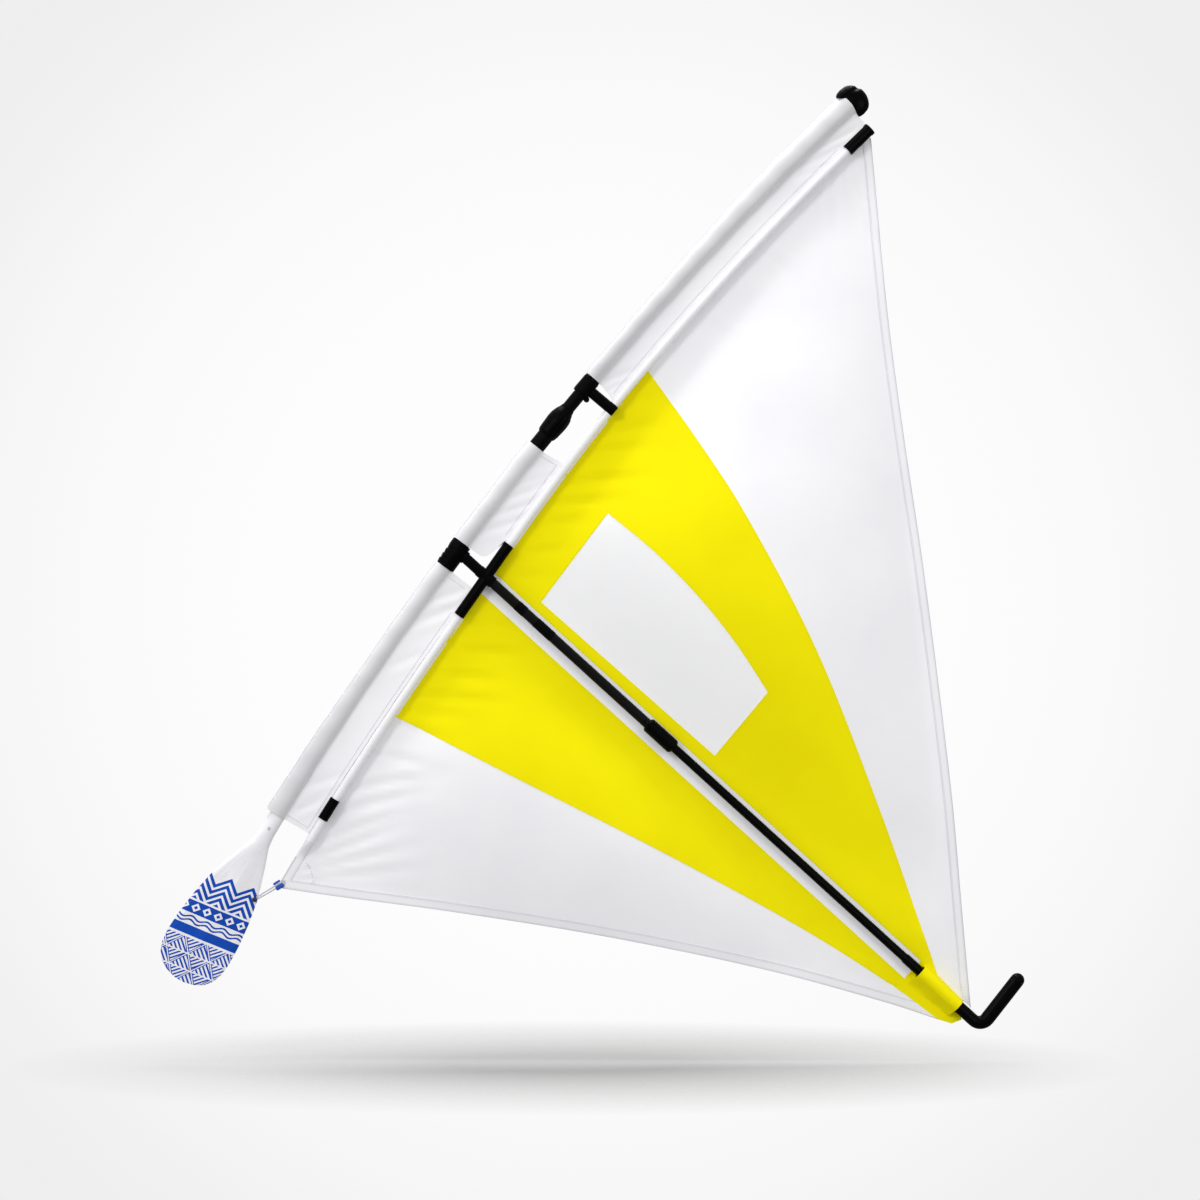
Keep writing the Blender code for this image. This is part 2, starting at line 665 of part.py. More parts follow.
def make_blade(materials):
    matrix = blade_matrix()
    origin = rig_point(BLADE_NECK, 0.0)
    shares = [row[0] for row in BLADE_WIDTH_SHARES]
    heights = [LOWER_SHAFT_FOOT - FIT - BLADE_NECK] + [-BLADE_LENGTH * share for share in shares]

    def section(height):
        if height > 0.0:
            return circle(BLADE_NECK_RADIUS, BLADE_SEGMENTS)
        return blade_ring(-height / BLADE_LENGTH)

    def place(height, across, depth):
        return matrix @ Vector((across, depth, height))

    body = swept(place, list(reversed(heights)), section)
    blade = add_object("paddle_blade", body, materials["blade_white"], origin)

    hole_at = matrix @ Matrix.Translation((tie_hole_side(), 0.0, -TIE_HOLE_ALONG))
    across = hole_at @ Matrix.Rotation(math.pi / 2.0, 4, "X")
    hole = turned(rod_profile(TIE_HOLE_RADIUS, -BLADE_NECK_RADIUS, BLADE_NECK_RADIUS), across, SMALL_SEGMENTS)
    cut(blade, add_object("tie_hole_cutter", hole, materials["blade_white"], origin))

    seat_at = matrix @ Matrix.Translation((0.0, 0.0, SNAP_BUTTON_DROP))
    outward = seat_at @ Matrix.Rotation(math.pi / 2.0, 4, "X")
    inner_end = BLADE_NECK_RADIUS - SNAP_BUTTON_DEPTH
    outer_end = BLADE_NECK_RADIUS + SNAP_BUTTON_PROUD
    seat_end = inner_end - SNAP_BUTTON_TRAVEL - FIT
    seat = rod_profile(SNAP_BUTTON_RADIUS + FIT, seat_end, outer_end + CUT_OVERRUN)
    seat_tool = add_object("snap_seat_cutter", turned(seat, outward, SMALL_SEGMENTS), materials["blade_white"], origin)
    cut(blade, seat_tool)
    pin = rod_profile(SNAP_BUTTON_RADIUS, inner_end, outer_end)
    add_object("blade_snap_button", turned(pin, outward, SMALL_SEGMENTS), materials["steel"], origin)

    start = LOWER_SHAFT_FOOT - BLADE_NECK
    ferrule = ring_profile(FERRULE_RADIUS - FERRULE_WALL, FERRULE_RADIUS, start, start + FERRULE_LENGTH)
    add_object("blade_ferrule", turned(ferrule, matrix, SHAFT_SEGMENTS), materials["black"], origin)


def make_shafts(materials):
    lower = stations_between(LOWER_SHAFT_FOOT, LOWER_SHAFT_TOP)
    bore = LOWER_SHAFT_RADIUS - LOWER_SHAFT_WALL
    body = tube(rig_place(mast_line), lower, LOWER_SHAFT_RADIUS, bore, SHAFT_SEGMENTS)
    add_object("lower_shaft", body, materials["black"])

    upper = stations_between(UPPER_SHAFT_FOOT, UPPER_SHAFT_TOP)
    wall = UPPER_SHAFT_RADIUS - UPPER_SHAFT_WALL
    body = tube(rig_place(mast_line), upper, UPPER_SHAFT_RADIUS, wall, SHAFT_SEGMENTS)
    add_object("upper_shaft", body, materials["black"], BEND_CENTRE)

    rings = [UPPER_SHAFT_FOOT, UPPER_SHAFT_FOOT + BUSH_LENGTH]
    body = tube(rig_place(mast_line), rings, bore - FIT, UPPER_SHAFT_RADIUS + FIT, SHAFT_SEGMENTS)
    add_object("shaft_bush", body, materials["black"], BEND_CENTRE)


def clamp_radius(height):
    return CLAMP_BODY_RADIUS * smooth_table(CLAMP_BODY_SHARES, height / CLAMP_LENGTH)


def clamp_section(height):
    """Outside of the clamp at a height, drawn in where the lever lies on it."""
    lever_top = LEVER_FOOT + LEVER_LENGTH
    under_lever = LEVER_FOOT - 1.5 * FIT < height < lever_top + 1.5 * FIT
    full = clamp_radius(height)
    recess = CLAMP_BARREL_RADIUS if under_lever else full
    start = LEVER_TO - CLAMP_RECESS_GAP
    end = LEVER_PIN_ANGLE + CLAMP_PIN_ROOM
    arcs = ((start, end, recess, 10), (end + CLAMP_RECESS_GAP / 2.0, start + 1.98 * math.pi, full, 12))
    ring = []
    for low, high, radius, steps in arcs:
        for i in range(steps + 1):
            angle = low + (high - low) * i / steps
            ring.append((radius * math.cos(angle), radius * math.sin(angle)))
    return ring


def make_clamp(materials):
    matrix = chord_frame(CLAMP_FOOT, CLAMP_FOOT + CLAMP_LENGTH, mast_line)
    origin = rig_point(CLAMP_FOOT, 0.0)
    shoulder = LOWER_SHAFT_TOP + FIT - CLAMP_FOOT
    wide_bore = LOWER_SHAFT_RADIUS + FIT
    narrow_bore = UPPER_SHAFT_RADIUS + FIT
    lever_top = LEVER_FOOT + LEVER_LENGTH
    heights = [LEVER_FOOT / 3.0 * i for i in range(3)]
    heights += [LEVER_FOOT - 2 * FIT, LEVER_FOOT - FIT]
    heights += [LEVER_FOOT + LEVER_LENGTH * i / 5.0 for i in range(1, 5)]
    heights += [lever_top + FIT, lever_top + 2 * FIT]
    heights += [lever_top + (CLAMP_LENGTH - lever_top) * i / 4.0 for i in range(1, 5)]

    def place(height, across, depth):
        return matrix @ Vector((across, depth, height))

    shell = swept(place, heights, clamp_section)
    bmesh.ops.triangulate(shell, faces=shell.faces)
    body = add_object("clamp_body", shell, materials["black"], origin)

    lug_low = LEVER_FOOT + LEVER_KNUCKLE_LENGTH + FIT
    lug_high = LEVER_FOOT + LEVER_LENGTH - LEVER_KNUCKLE_LENGTH - FIT
    pin_x = LEVER_PIN_OFFSET * math.cos(LEVER_PIN_ANGLE)
    pin_y = LEVER_PIN_OFFSET * math.sin(LEVER_PIN_ANGLE)
    pin_axis = matrix @ Matrix.Translation((pin_x, pin_y, 0.0))
    knuckle = rod_profile(LEVER_KNUCKLE_RADIUS, lug_low, lug_high)
    lug = add_object("clamp_lug", turned(knuckle, pin_axis, SMALL_SEGMENTS), materials["black"], origin)
    cut(body, lug, "UNION")
    web_reach = LEVER_PIN_OFFSET - (wide_bore + CLAMP_BARREL_RADIUS) / 2.0
    web = block(web_reach, LUG_WEB, lug_high - lug_low - 2 * FIT)
    turn = Matrix.Rotation(LEVER_PIN_ANGLE, 4, "Z")
    web_at = Matrix.Translation((LEVER_PIN_OFFSET - web_reach / 2.0, 0.0, (lug_low + lug_high) / 2.0))
    web.transform(matrix @ turn @ web_at)
    cut(body, add_object("clamp_web", web, materials["black"], origin), "UNION")
    bore = rod_profile(LEVER_PIN_RADIUS + FIT, lug_low - CUT_OVERRUN, lug_high + CUT_OVERRUN)
    pin_tool = add_object("clamp_pin_cutter", turned(bore, pin_axis, SMALL_SEGMENTS), materials["black"], origin)
    cut(body, pin_tool)

    reach = CLAMP_BODY_RADIUS + CUT_OVERRUN
    slit_length = CLAMP_LENGTH - shoulder + CUT_OVERRUN
    slit = block(reach, CLAMP_SLIT, slit_length)
    slit.transform(matrix @ Matrix.Translation((-reach / 2.0, 0.0, shoulder + FIT + slit_length / 2.0)))
    cut(body, add_object("clamp_slit_cutter", slit, materials["black"], origin))

    bores = (
        ("clamp_wide_bore", wide_bore, -CUT_OVERRUN, shoulder),
        ("clamp_narrow_bore", narrow_bore, 0.0, CLAMP_LENGTH + CUT_OVERRUN),
    )
    for name, radius, low, high in bores:
        tool = turned(rod_profile(radius, low, high), matrix, SHAFT_SEGMENTS)
        cut(body, add_object(name, tool, materials["black"], origin))

    lever_origin = matrix @ Vector((pin_x, pin_y, 0.0))
    make_lever(materials, matrix, lever_origin, pin_axis)
    pin = rod_profile(LEVER_PIN_RADIUS, LEVER_FOOT, LEVER_FOOT + LEVER_LENGTH)
    add_object("clamp_pin", turned(pin, pin_axis, SMALL_SEGMENTS), materials["steel"], origin)


def make_lever(materials, matrix, lever_origin, pin_axis):
    """Curved handle that hugs the clamp and swings on the pin."""
    inner = CLAMP_BARREL_RADIUS + FIT
    steps = 14
    slices = 8

    def place(turn_share, across, height):
        angle = LEVER_FROM + (LEVER_TO - LEVER_FROM) * turn_share
        return matrix @ Vector((across * math.cos(angle), across * math.sin(angle), height))

    def section(turn_share):
        low, high = LEVER_FOOT, LEVER_FOOT + LEVER_LENGTH
        thin = min(1.0, (1.0 - turn_share) * 3.0 + 0.4)
        outline = [(inner, low), (inner, high)]
        for i in range(slices + 1):
            height = high - (high - low) * i / slices
            thickness = clamp_radius(height) + LEVER_PROUD - inner
            outline.append((inner + thickness * thin, height))
        return outline

    body = swept(place, [i / steps for i in range(steps + 1)], section)
    bmesh.ops.triangulate(body, faces=body.faces)
    lever = add_object("clamp_lever", body, materials["black"], lever_origin)
    knuckle_foot = LEVER_FOOT + 2 * FIT
    knuckle_top = LEVER_FOOT + LEVER_LENGTH - 2 * FIT
    profile = rod_profile(LEVER_KNUCKLE_RADIUS, knuckle_foot, knuckle_top)
    knuckle = add_object("lever_knuckle", turned(profile, pin_axis, SMALL_SEGMENTS), materials["black"], lever_origin)
    cut(lever, knuckle, "UNION")
    profile = rod_profile(LEVER_PIN_RADIUS + FIT, knuckle_foot - 2 * CUT_OVERRUN, knuckle_top + 2 * CUT_OVERRUN)
    tool = add_object("lever_pin_cutter", turned(profile, pin_axis, SMALL_SEGMENTS), materials["black"], lever_origin)
    cut(lever, tool)
    lug_low = LEVER_FOOT + LEVER_KNUCKLE_LENGTH
    lug_high = LEVER_FOOT + LEVER_LENGTH - LEVER_KNUCKLE_LENGTH
    profile = rod_profile(LEVER_KNUCKLE_RADIUS + FIT, lug_low, lug_high)
    tool = add_object("lever_gap_cutter", turned(profile, pin_axis, SMALL_SEGMENTS), materials["black"], lever_origin)
    cut(lever, tool)


def grip_groove(across):
    return math.exp(-(((across - GRIP_GROOVE_AT) / GRIP_GROOVE_HALF_WIDTH) ** 2))


def grip_ring(share):
    scale = smooth_table(GRIP_PROFILE_SHARES, share)
    ring = []
    for cosine, sine in circle(1.0, GRIP_SEGMENTS):
        across = GRIP_HALF_WIDTH * scale * math.copysign(abs(cosine) ** 0.85, cosine)
        depth = GRIP_HALF_DEPTH * scale * math.copysign(abs(sine) ** 0.85, sine)
        depth *= 1.0 - GRIP_GROOVE_SHARE * grip_groove(across)
        ring.append((across, depth))
    return ring


def grip_underside(across):
    """Height of the grip's lower edge, by the distance from its own middle."""
    share = max(-1.0, min(1.0, across / GRIP_HALF_WIDTH))
    return GRIP_SAG * smooth_table(GRIP_SAG_SHARES, share)


def make_grip(materials):
    matrix = mast_frame(GRIP_BASE)
    origin = rig_point(GRIP_BASE, 0.0)

    def place(share, across, depth):
        height = grip_underside(across) * (1.0 - share) + GRIP_HEIGHT * share
        height -= GRIP_GROOVE * grip_groove(across) * share
        return matrix @ Vector((across + GRIP_SHIFT, depth, height))

    shares = [row[0] for row in GRIP_PROFILE_SHARES]
    body = swept(place, shares, grip_ring)
    bmesh.ops.triangulate(body, faces=body.faces)
    grip = add_object("mast_grip", body, materials["black"], origin)
    socket = UPPER_SHAFT_TOP - GRIP_BASE + FIT
    bore = rod_profile(UPPER_SHAFT_RADIUS + FIT, -GRIP_SAG - CUT_OVERRUN, socket)
    cut(grip, add_object("grip_bore_cutter", turned(bore, matrix, SHAFT_SEGMENTS), materials["black"], origin))
    stem_radius = UPPER_SHAFT_RADIUS - UPPER_SHAFT_WALL - FIT
    stem = rod_profile(stem_radius, socket - GRIP_STEM_LENGTH, socket + CUT_OVERRUN)
    stem_tool = add_object("grip_stem", turned(stem, matrix, SHAFT_SEGMENTS), materials["black"], origin)
    cut(grip, stem_tool, "UNION")


# Luff spar and fittings

def make_spars(materials):
    pieces = (
        ("luff_spar_lower", SPAR_FOOT, SPAR_JOINT - FIT),
        ("luff_spar_upper", SPAR_JOINT, SPAR_TOP),
    )
    for name, low, high in pieces:
        body = tube(rig_place(luff_offset), stations_between(low, high), SPAR_RADIUS, segments=SMALL_SEGMENTS)
        add_object(name, body, materials["grey"])


def spar_bore(name, low, high, material):
    """Cutter along the luff spar for what fits over it."""
    stations = stations_between(low, high)
    body = tube(rig_place(luff_offset), stations, SPAR_RADIUS + FIT, segments=SMALL_SEGMENTS)
    return add_object(name, body, material)


def collar_section(notch, bore):
    """Section of the boom collar, with its row of teeth on the side away from the boom."""
    ring = []
    for x, y in circle(1.0, SHAFT_SEGMENTS):
        away = abs(math.atan2(y, -x))
        radius = bore + COLLAR_WALL - (notch if away < COLLAR_TOOTH_SPREAD else 0.0)
        ring.append((radius * x + COLLAR_SHIFT, radius * y))
    return ring


def make_boom_collar(materials):
    bore = LOWER_SHAFT_RADIUS + FIT
    pitch = COLLAR_TOOTHED_SHARE / COLLAR_TEETH
    notch_at = {}
    for tooth in range(COLLAR_TEETH):
        for along in (0.0, 0.5, 0.92):
            station = COLLAR_FOOT + COLLAR_LENGTH * pitch * (tooth + along)
            notch_at[station] = COLLAR_NOTCH * (1.0 - along)
    notch_at[COLLAR_FOOT + COLLAR_LENGTH * COLLAR_TOOTHED_SHARE] = 0.0
    notch_at[COLLAR_FOOT + COLLAR_LENGTH] = 0.0
    stations = sorted(notch_at)

    def outer(station):
        return collar_section(notch_at[station], bore)

    inner = circle(bore, SHAFT_SEGMENTS)
    collar = add_object(
        "boom_collar", swept(rig_place(mast_line), stations, outer, lambda s: inner), materials["black"])
    start = bore + COLLAR_WALL / 2.0
    neck_end = cross_centre() - CROSS_HUB_REACH - FIT
    body = tube(boom_place, [start, neck_end], NECK_RADIUS, segments=TUBE_SEGMENTS)
    cut(collar, add_object("collar_neck", body, materials["black"]), "UNION")
    boss_end = bore + COLLAR_WALL + COLLAR_SHIFT + COLLAR_BOSS_REACH
    body = tube(boom_place, [start, boss_end], COLLAR_BOSS_RADIUS, segments=TUBE_SEGMENTS)
    cut(collar, add_object("collar_boss", body, materials["black"]), "UNION")
    body = tube(boom_place, [neck_end - NECK_BORE_DEPTH, neck_end + CUT_OVERRUN], NECK_BORE, segments=TUBE_SEGMENTS)
    cut(collar, add_object("collar_neck_bore", body, materials["black"]))


def cross_centre():
    """Distance along the boom to the luff spar."""
    return luff_offset(BOOM_STATION)


def make_cross_fitting(materials):
    stations = stations_between(CROSS_FOOT, CROSS_TOP, (CROSS_TOP - CROSS_FOOT) / 4.0)
    body = tube(rig_place(luff_offset), stations, CROSS_RADIUS)
    cross = add_object("cross_fitting", body, materials["black"])
    middle = cross_centre()
    low, high = middle - CROSS_HUB_REACH, middle + CROSS_HUB_REACH
    hub = tube(boom_place, [low, high], CROSS_HUB_RADIUS)
    cut(cross, add_object("cross_hub", hub, materials["black"]), "UNION")
    spigot = tube(boom_place, [low - CROSS_SPIGOT_LENGTH, low + CUT_OVERRUN], NECK_BORE - FIT)
    cut(cross, add_object("cross_neck_spigot", spigot, materials["black"]), "UNION")
    spigot = tube(boom_place, [high - CUT_OVERRUN, high + CROSS_BOOM_SPIGOT_LENGTH], BOOM_FRONT_BORE - FIT)
    cut(cross, add_object("cross_boom_spigot", spigot, materials["black"]), "UNION")
    tool = spar_bore("cross_bore", CROSS_FOOT - CUT_OVERRUN, CROSS_TOP + CUT_OVERRUN, materials["black"])
    cut(cross, tool)


def make_upper_collar(materials):
    bore = UPPER_SHAFT_RADIUS + FIT
    inner = circle(bore, SHAFT_SEGMENTS)

    def outer(station):
        share = smooth_table(UPPER_COLLAR_SHARES, (station - UPPER_COLLAR_FOOT) / UPPER_COLLAR_LENGTH)
        return circle((bore + UPPER_COLLAR_WALL) * min(1.0, share), SHAFT_SEGMENTS)

    stations = [UPPER_COLLAR_FOOT + UPPER_COLLAR_LENGTH * row[0] for row in UPPER_COLLAR_SHARES]
    body = swept(rig_place(mast_line), stations, outer, lambda s: inner)
    collar = add_object("upper_collar", body, materials["black"])
    matrix = mast_frame(STRUT_STATION) @ Matrix.Rotation(math.pi / 2.0, 4, "Y")
    start = bore + UPPER_COLLAR_WALL / 2.0
    strut = turned(rod_profile(STRUT_RADIUS, start, STRUT_END), matrix, TUBE_SEGMENTS)
    cut(collar, add_object("collar_strut", strut, materials["black"]), "UNION")
    lug_at = mast_frame(UPPER_COLLAR_FOOT, UPPER_COLLAR_LUG_DROP) @ Matrix.Rotation(math.pi / 2.0, 4, "X")
    lug = turned(rod_profile(UPPER_COLLAR_LUG_RADIUS, -STRUT_RADIUS / 2.0, STRUT_RADIUS / 2.0), lug_at, SMALL_SEGMENTS)
    cut(collar, add_object("collar_lug", lug, materials["black"]), "UNION")
    reach = UPPER_COLLAR_LENGTH
    stations = [UPPER_COLLAR_FOOT - reach / 2.0, UPPER_COLLAR_FOOT + reach / 2.0, UPPER_COLLAR_FOOT + 1.5 * reach]
    tool = tube(rig_place(mast_line), stations, bore, segments=SHAFT_SEGMENTS)
    cut(collar, add_object("collar_shaft_bore", tool, materials["black"]))
    reach = STRUT_RADIUS + CUT_OVERRUN
    cut(collar, spar_bore("strut_spar_bore", STRUT_STATION - reach, STRUT_STATION + reach, materials["black"]))


def make_small_fittings(materials):
    matrix = chord_frame(HEAD_SOCKET_FOOT, SPAR_TOP, luff_offset)
    depth = SPAR_TOP + FIT - HEAD_SOCKET_FOOT
    socket = [
        (SPAR_RADIUS + 2 * FIT, 0.0), (HEAD_SOCKET_RADIUS, 0.0), (HEAD_SOCKET_RADIUS, HEAD_SOCKET_LENGTH),
        (0.0, HEAD_SOCKET_LENGTH), (0.0, depth), (SPAR_RADIUS + 2 * FIT, depth),
    ]
    body = turned_cup(socket, matrix, TUBE_SEGMENTS)
    add_object("head_socket", body, materials["black"])
    low = HEAD_SOCKET_LENGTH + FIT
    high = low + HEAD_CAP_LENGTH
    cap = [(0.0, low), (HEAD_CAP_RADIUS, low), (HEAD_CAP_RADIUS, high - 4 * FIT), (HEAD_CAP_RADIUS - 4 * FIT, high), (0.0, high)]
    add_object("head_cap", turned(cap, matrix, TUBE_SEGMENTS), materials["black"])
    stations = [TACK_COLLAR_FOOT, TACK_COLLAR_FOOT + TACK_COLLAR_LENGTH]
    body = tube(rig_place(luff_offset), stations, TACK_COLLAR_RADIUS, SPAR_RADIUS + FIT)
    add_object("tack_collar", body, materials["black"])


def turned_cup(profile, matrix, segments):
    """Revolves a profile whose inner and outer ends both close on the axis."""
    mesh_data = bmesh.new()
    rings = []
    for radius, height in profile:
        if radius == 0.0:
            rings.append([mesh_data.verts.new((0.0, 0.0, height))])
        else:
            rings.append([mesh_data.verts.new((x, y, height)) for x, y in circle(radius, segments)])
    count = len(rings)
    for index in range(count):
        low, high = rings[index], rings[(index + 1) % count]
        if len(low) == 1 and len(high) == 1:
            continue
        for i in range(segments):
            k = (i + 1) % segments
            if len(low) == 1:
                mesh_data.faces.new((low[0], high[k], high[i]))
            elif len(high) == 1:
                mesh_data.faces.new((low[i], low[k], high[0]))
            else:
                mesh_data.faces.new((low[i], low[k], high[k], high[i]))
    mesh_data.transform(matrix)
    return mesh_data


# Boom

def make_boom(materials):
    start = cross_centre() + CROSS_HUB_REACH + FIT
    body = tube(boom_place, [start, BOOM_FRONT_END], BOOM_FRONT_RADIUS, BOOM_FRONT_BORE)
    front = add_object("boom_front_tube", body, materials["grey"])
    rivet_at = frame(boom_point(BOOM_RIVET_AT, 0.0), BOOM_OUT, BOOM_RISE, -BACKWARD)
    hole = rod_profile(BOOM_RIVET_HOLE, BOOM_FRONT_BORE - CUT_OVERRUN, BOOM_FRONT_RADIUS + CUT_OVERRUN)
    cut(front, add_object("rivet_hole", turned(hole, rivet_at, SMALL_SEGMENTS), materials["black"]))
    low = BOOM_REAR_RADIUS + FIT
    high = BOOM_FRONT_RADIUS + BOOM_RIVET_PROUD
    rivet = turned(rod_profile(BOOM_RIVET_RADIUS, low, high), rivet_at, SMALL_SEGMENTS)
    add_object("boom_rivet", rivet, materials["black"])

    bands = (
        ("boom_band_inner", BOOM_INNER_BAND_AT, BOOM_INNER_BAND_LENGTH),
        ("boom_band_outer", BOOM_OUTER_BAND_AT, BOOM_OUTER_BAND_LENGTH),
    )
    for name, at, length in bands:
        body = tube(boom_place, [at, at + length], BOOM_BAND_RADIUS, BOOM_FRONT_RADIUS + FIT)
        add_object(name, body, materials["rubber"])

    rear_origin = boom_point(BOOM_REAR_START, 0.0)
    body = tube(boom_place, [BOOM_REAR_START, END_SOCKET_END - FIT], BOOM_REAR_RADIUS, BOOM_REAR_BORE)
    add_object("boom_rear_tube", body, materials["black"], rear_origin)
    body = tube(boom_place, [END_SOCKET_START, END_SOCKET_END], END_SOCKET_RADIUS, BOOM_REAR_RADIUS + FIT)
    add_object("boom_end_socket", body, materials["black"], rear_origin)

    matrix = boom_frame(0.0)
    body = tube(boom_place, [COLLET_START, COLLET_START + COLLET_LENGTH], COLLET_RADIUS, BOOM_REAR_RADIUS + FIT)
    add_object("boom_lock_collet", body, materials["rubber"])
    low, high = LOCK_START, LOCK_START + LOCK_LENGTH
    front_bore = LOCK_LIP_BORE
    chamber = COLLET_RADIUS + FIT
    rear_bore = BOOM_REAR_RADIUS + FIT
    chamber_end = COLLET_START + COLLET_LENGTH + FIT
    profile = [
        (front_bore, low), (LOCK_RADIUS - LOCK_ROUND, low), (LOCK_RADIUS, low + LOCK_ROUND),
        (LOCK_RADIUS, high - LOCK_ROUND), (LOCK_RADIUS - LOCK_ROUND, high), (rear_bore, high),
        (rear_bore, chamber_end), (chamber, chamber_end), (chamber, low + LOCK_LIP), (front_bore, low + LOCK_LIP),
    ]
    add_object("boom_lock", turned(profile, matrix, 2 * LOCK_WINGS), materials["black"], boom_point(low, 0.0))


def leg_direction():
    """Way up the handle's leg, which leans in towards the sail."""
    return BOOM_RISE * math.cos(HANDLE_LEAN) - BOOM_OUT * math.sin(HANDLE_LEAN)


def handle_route():
    """Middle line of the angled handle with its radius: along the boom, round the bend, up the leg."""
    route = [(boom_point(HANDLE_START, 0.0), HANDLE_RADIUS)]
    bend_start = HANDLE_TURN_AT - HANDLE_BEND_RADIUS
    steps = 8
    for i in range(steps + 1):
        angle = (math.pi / 2.0 + HANDLE_LEAN) * i / steps
        along = bend_start + HANDLE_BEND_RADIUS * math.sin(angle)
        rise = HANDLE_BEND_RADIUS * (1.0 - math.cos(angle))
        radius = HANDLE_RADIUS + (HANDLE_LEG_RADIUS - HANDLE_RADIUS) * i / steps
        route.append((boom_point(along, rise), radius))
    leg = HANDLE_REACH - HANDLE_LEG_RADIUS - HANDLE_BEND_RADIUS
    route.append((route[-1][0] + leg_direction() * leg, HANDLE_LEG_RADIUS))
    return route


def make_handle(materials):
    origin = boom_point(HANDLE_START, 0.0)
    route = handle_route()
    mesh_data = bmesh.new()
    rings = []
    for index, (point, radius) in enumerate(route):
        ahead = route[min(index + 1, len(route) - 1)][0] - route[max(index - 1, 0)][0]
        ahead.normalize()
        if index in (0, 1):
            ahead = BOOM_OUT.copy()
        if index >= len(route) - 2:
            ahead = leg_direction()
        side = BACKWARD.cross(ahead)
        ring = []
        for x, y in circle(radius, TUBE_SEGMENTS):
            ring.append(mesh_data.verts.new(point + side * x + BACKWARD * y))
        rings.append(ring)
    # Spigot into the rear tube
    for radius, along in ((HANDLE_SPIGOT_RADIUS, HANDLE_START), (HANDLE_SPIGOT_RADIUS, HANDLE_START - HANDLE_SPIGOT_LENGTH)):
        ring = []
        side = BACKWARD.cross(BOOM_OUT)
        for x, y in circle(radius, TUBE_SEGMENTS):
            ring.append(mesh_data.verts.new(boom_point(along, 0.0) + side * x + BACKWARD * y))
        rings.insert(0, ring)
    bridge(mesh_data, rings)
    mesh_data.faces.new(list(reversed(rings[0])))
    mesh_data.faces.new(rings[-1])
    add_object("handle_tube", mesh_data, materials["black"], origin)

    end = frame(route[-1][0], BACKWARD.cross(leg_direction()), BACKWARD, leg_direction())
    steps = 5
    dome = [(0.0, FIT)]
    for i in range(steps + 1):
        angle = math.pi / 2.0 * i / steps
        radius = HANDLE_LEG_RADIUS * math.cos(angle) if i < steps else 0.0
        dome.append((radius, FIT + HANDLE_LEG_RADIUS * math.sin(angle)))
    add_object("handle_cap", turned(dome, end, TUBE_SEGMENTS), materials["black"], origin)


# Sail cloth

def flat(point):
    return (point.x, point.z)


def luff_edge(station):
    """Right edge of the luff hem, where the panels begin."""
    return rig_point(station, luff_offset(station) + HEM_EDGE)


def sail_corners():
    tack = rig_point(TACK_STATION, TACK_OFFSET)
    head = rig_point(HEAD_STATION, HEAD_OFFSET)
    clew = boom_point(LEECH_END_ALONG, 0.0)
    return tack, head, clew


def cloth_depth(x, z):
    """Depth of the cloth's middle: flat at its edges and behind the boom, swollen forward between them."""
    tack, head, clew = sail_corners()
    area = (head.x - tack.x) * (clew.z - tack.z) - (clew.x - tack.x) * (head.z - tack.z)
    at_head = ((x - tack.x) * (clew.z - tack.z) - (clew.x - tack.x) * (z - tack.z)) / area
    at_clew = ((head.x - tack.x) * (z - tack.z) - (x - tack.x) * (head.z - tack.z)) / area
    at_tack = 1.0 - at_head - at_clew
    swell = 27.0 * max(0.0, at_head) * max(0.0, at_clew) * max(0.0, at_tack)
    swell *= 1.0 - math.exp(-((boom_coords(x, z)[1] / BOOM_CREASE_WIDTH) ** 2))
    return CLOTH_BACKSET - SAIL_CAMBER * max(0.0, swell - SAIL_FLAT_SHARE)


def bowed(start, end, depth, shares, step=SEAM_STEP):
    """Points from start to end, bowed to the left of the way along."""
    chord = end - start
    length = chord.length
    count = max(2, round(length / step))
    side = (chord / length).cross(BACKWARD)
    points = []
    for i in range(count + 1):
        share = i / count
        points.append(start + chord * share + side * depth * smooth_table(shares, share))
    return [flat(p) for p in points]


def luff_line(low, high, step=SEAM_STEP):
    return [flat(luff_edge(s)) for s in stations_between(low, high, step)]


def straight(start, end, step=SEAM_STEP):
    start, end = np.array(start), np.array(end)
    count = max(1, round(float(np.hypot(*(end - start))) / step))
    return [tuple(start + (end - start) * i / count) for i in range(count + 1)]


def join(*lines):
    """One closed outline from lines that follow each other."""
    outline = []
    for line in lines:
        for point in line:
            if not outline or math.dist(point, outline[-1]) > 10 * FIT:
                outline.append(tuple(point))
    if math.dist(outline[0], outline[-1]) <= 10 * FIT:
        outline.pop()
    return outline


def crossing(line, other):
    """Where two lines of points first cross: the index on each, and the place."""
    for i in range(len(line) - 1):
        ax, az = line[i]
        rx, rz = line[i + 1][0] - ax, line[i + 1][1] - az
        for k in range(len(other) - 1):
            cx, cz = other[k]
            sx, sz = other[k + 1][0] - cx, other[k + 1][1] - cz
            turn = rx * sz - rz * sx
            if turn == 0.0:
                continue
            t = ((cx - ax) * sz - (cz - az) * sx) / turn
            u = ((cx - ax) * rz - (cz - az) * rx) / turn
            if 0.0 <= t <= 1.0 and 0.0 <= u <= 1.0:
                return i, k, (ax + rx * t, az + rz * t)
    raise ValueError("the lines do not cross")


def offset_line(line, distance):
    """The line moved to its left."""
    moved = []
    for i, (x, z) in enumerate(line):
        ahead = line[min(i + 1, len(line) - 1)]
        behind = line[max(i - 1, 0)]
        run = math.dist(ahead, behind)
        moved.append((x - (ahead[1] - behind[1]) / run * distance, z + (ahead[0] - behind[0]) / run * distance))
    return moved


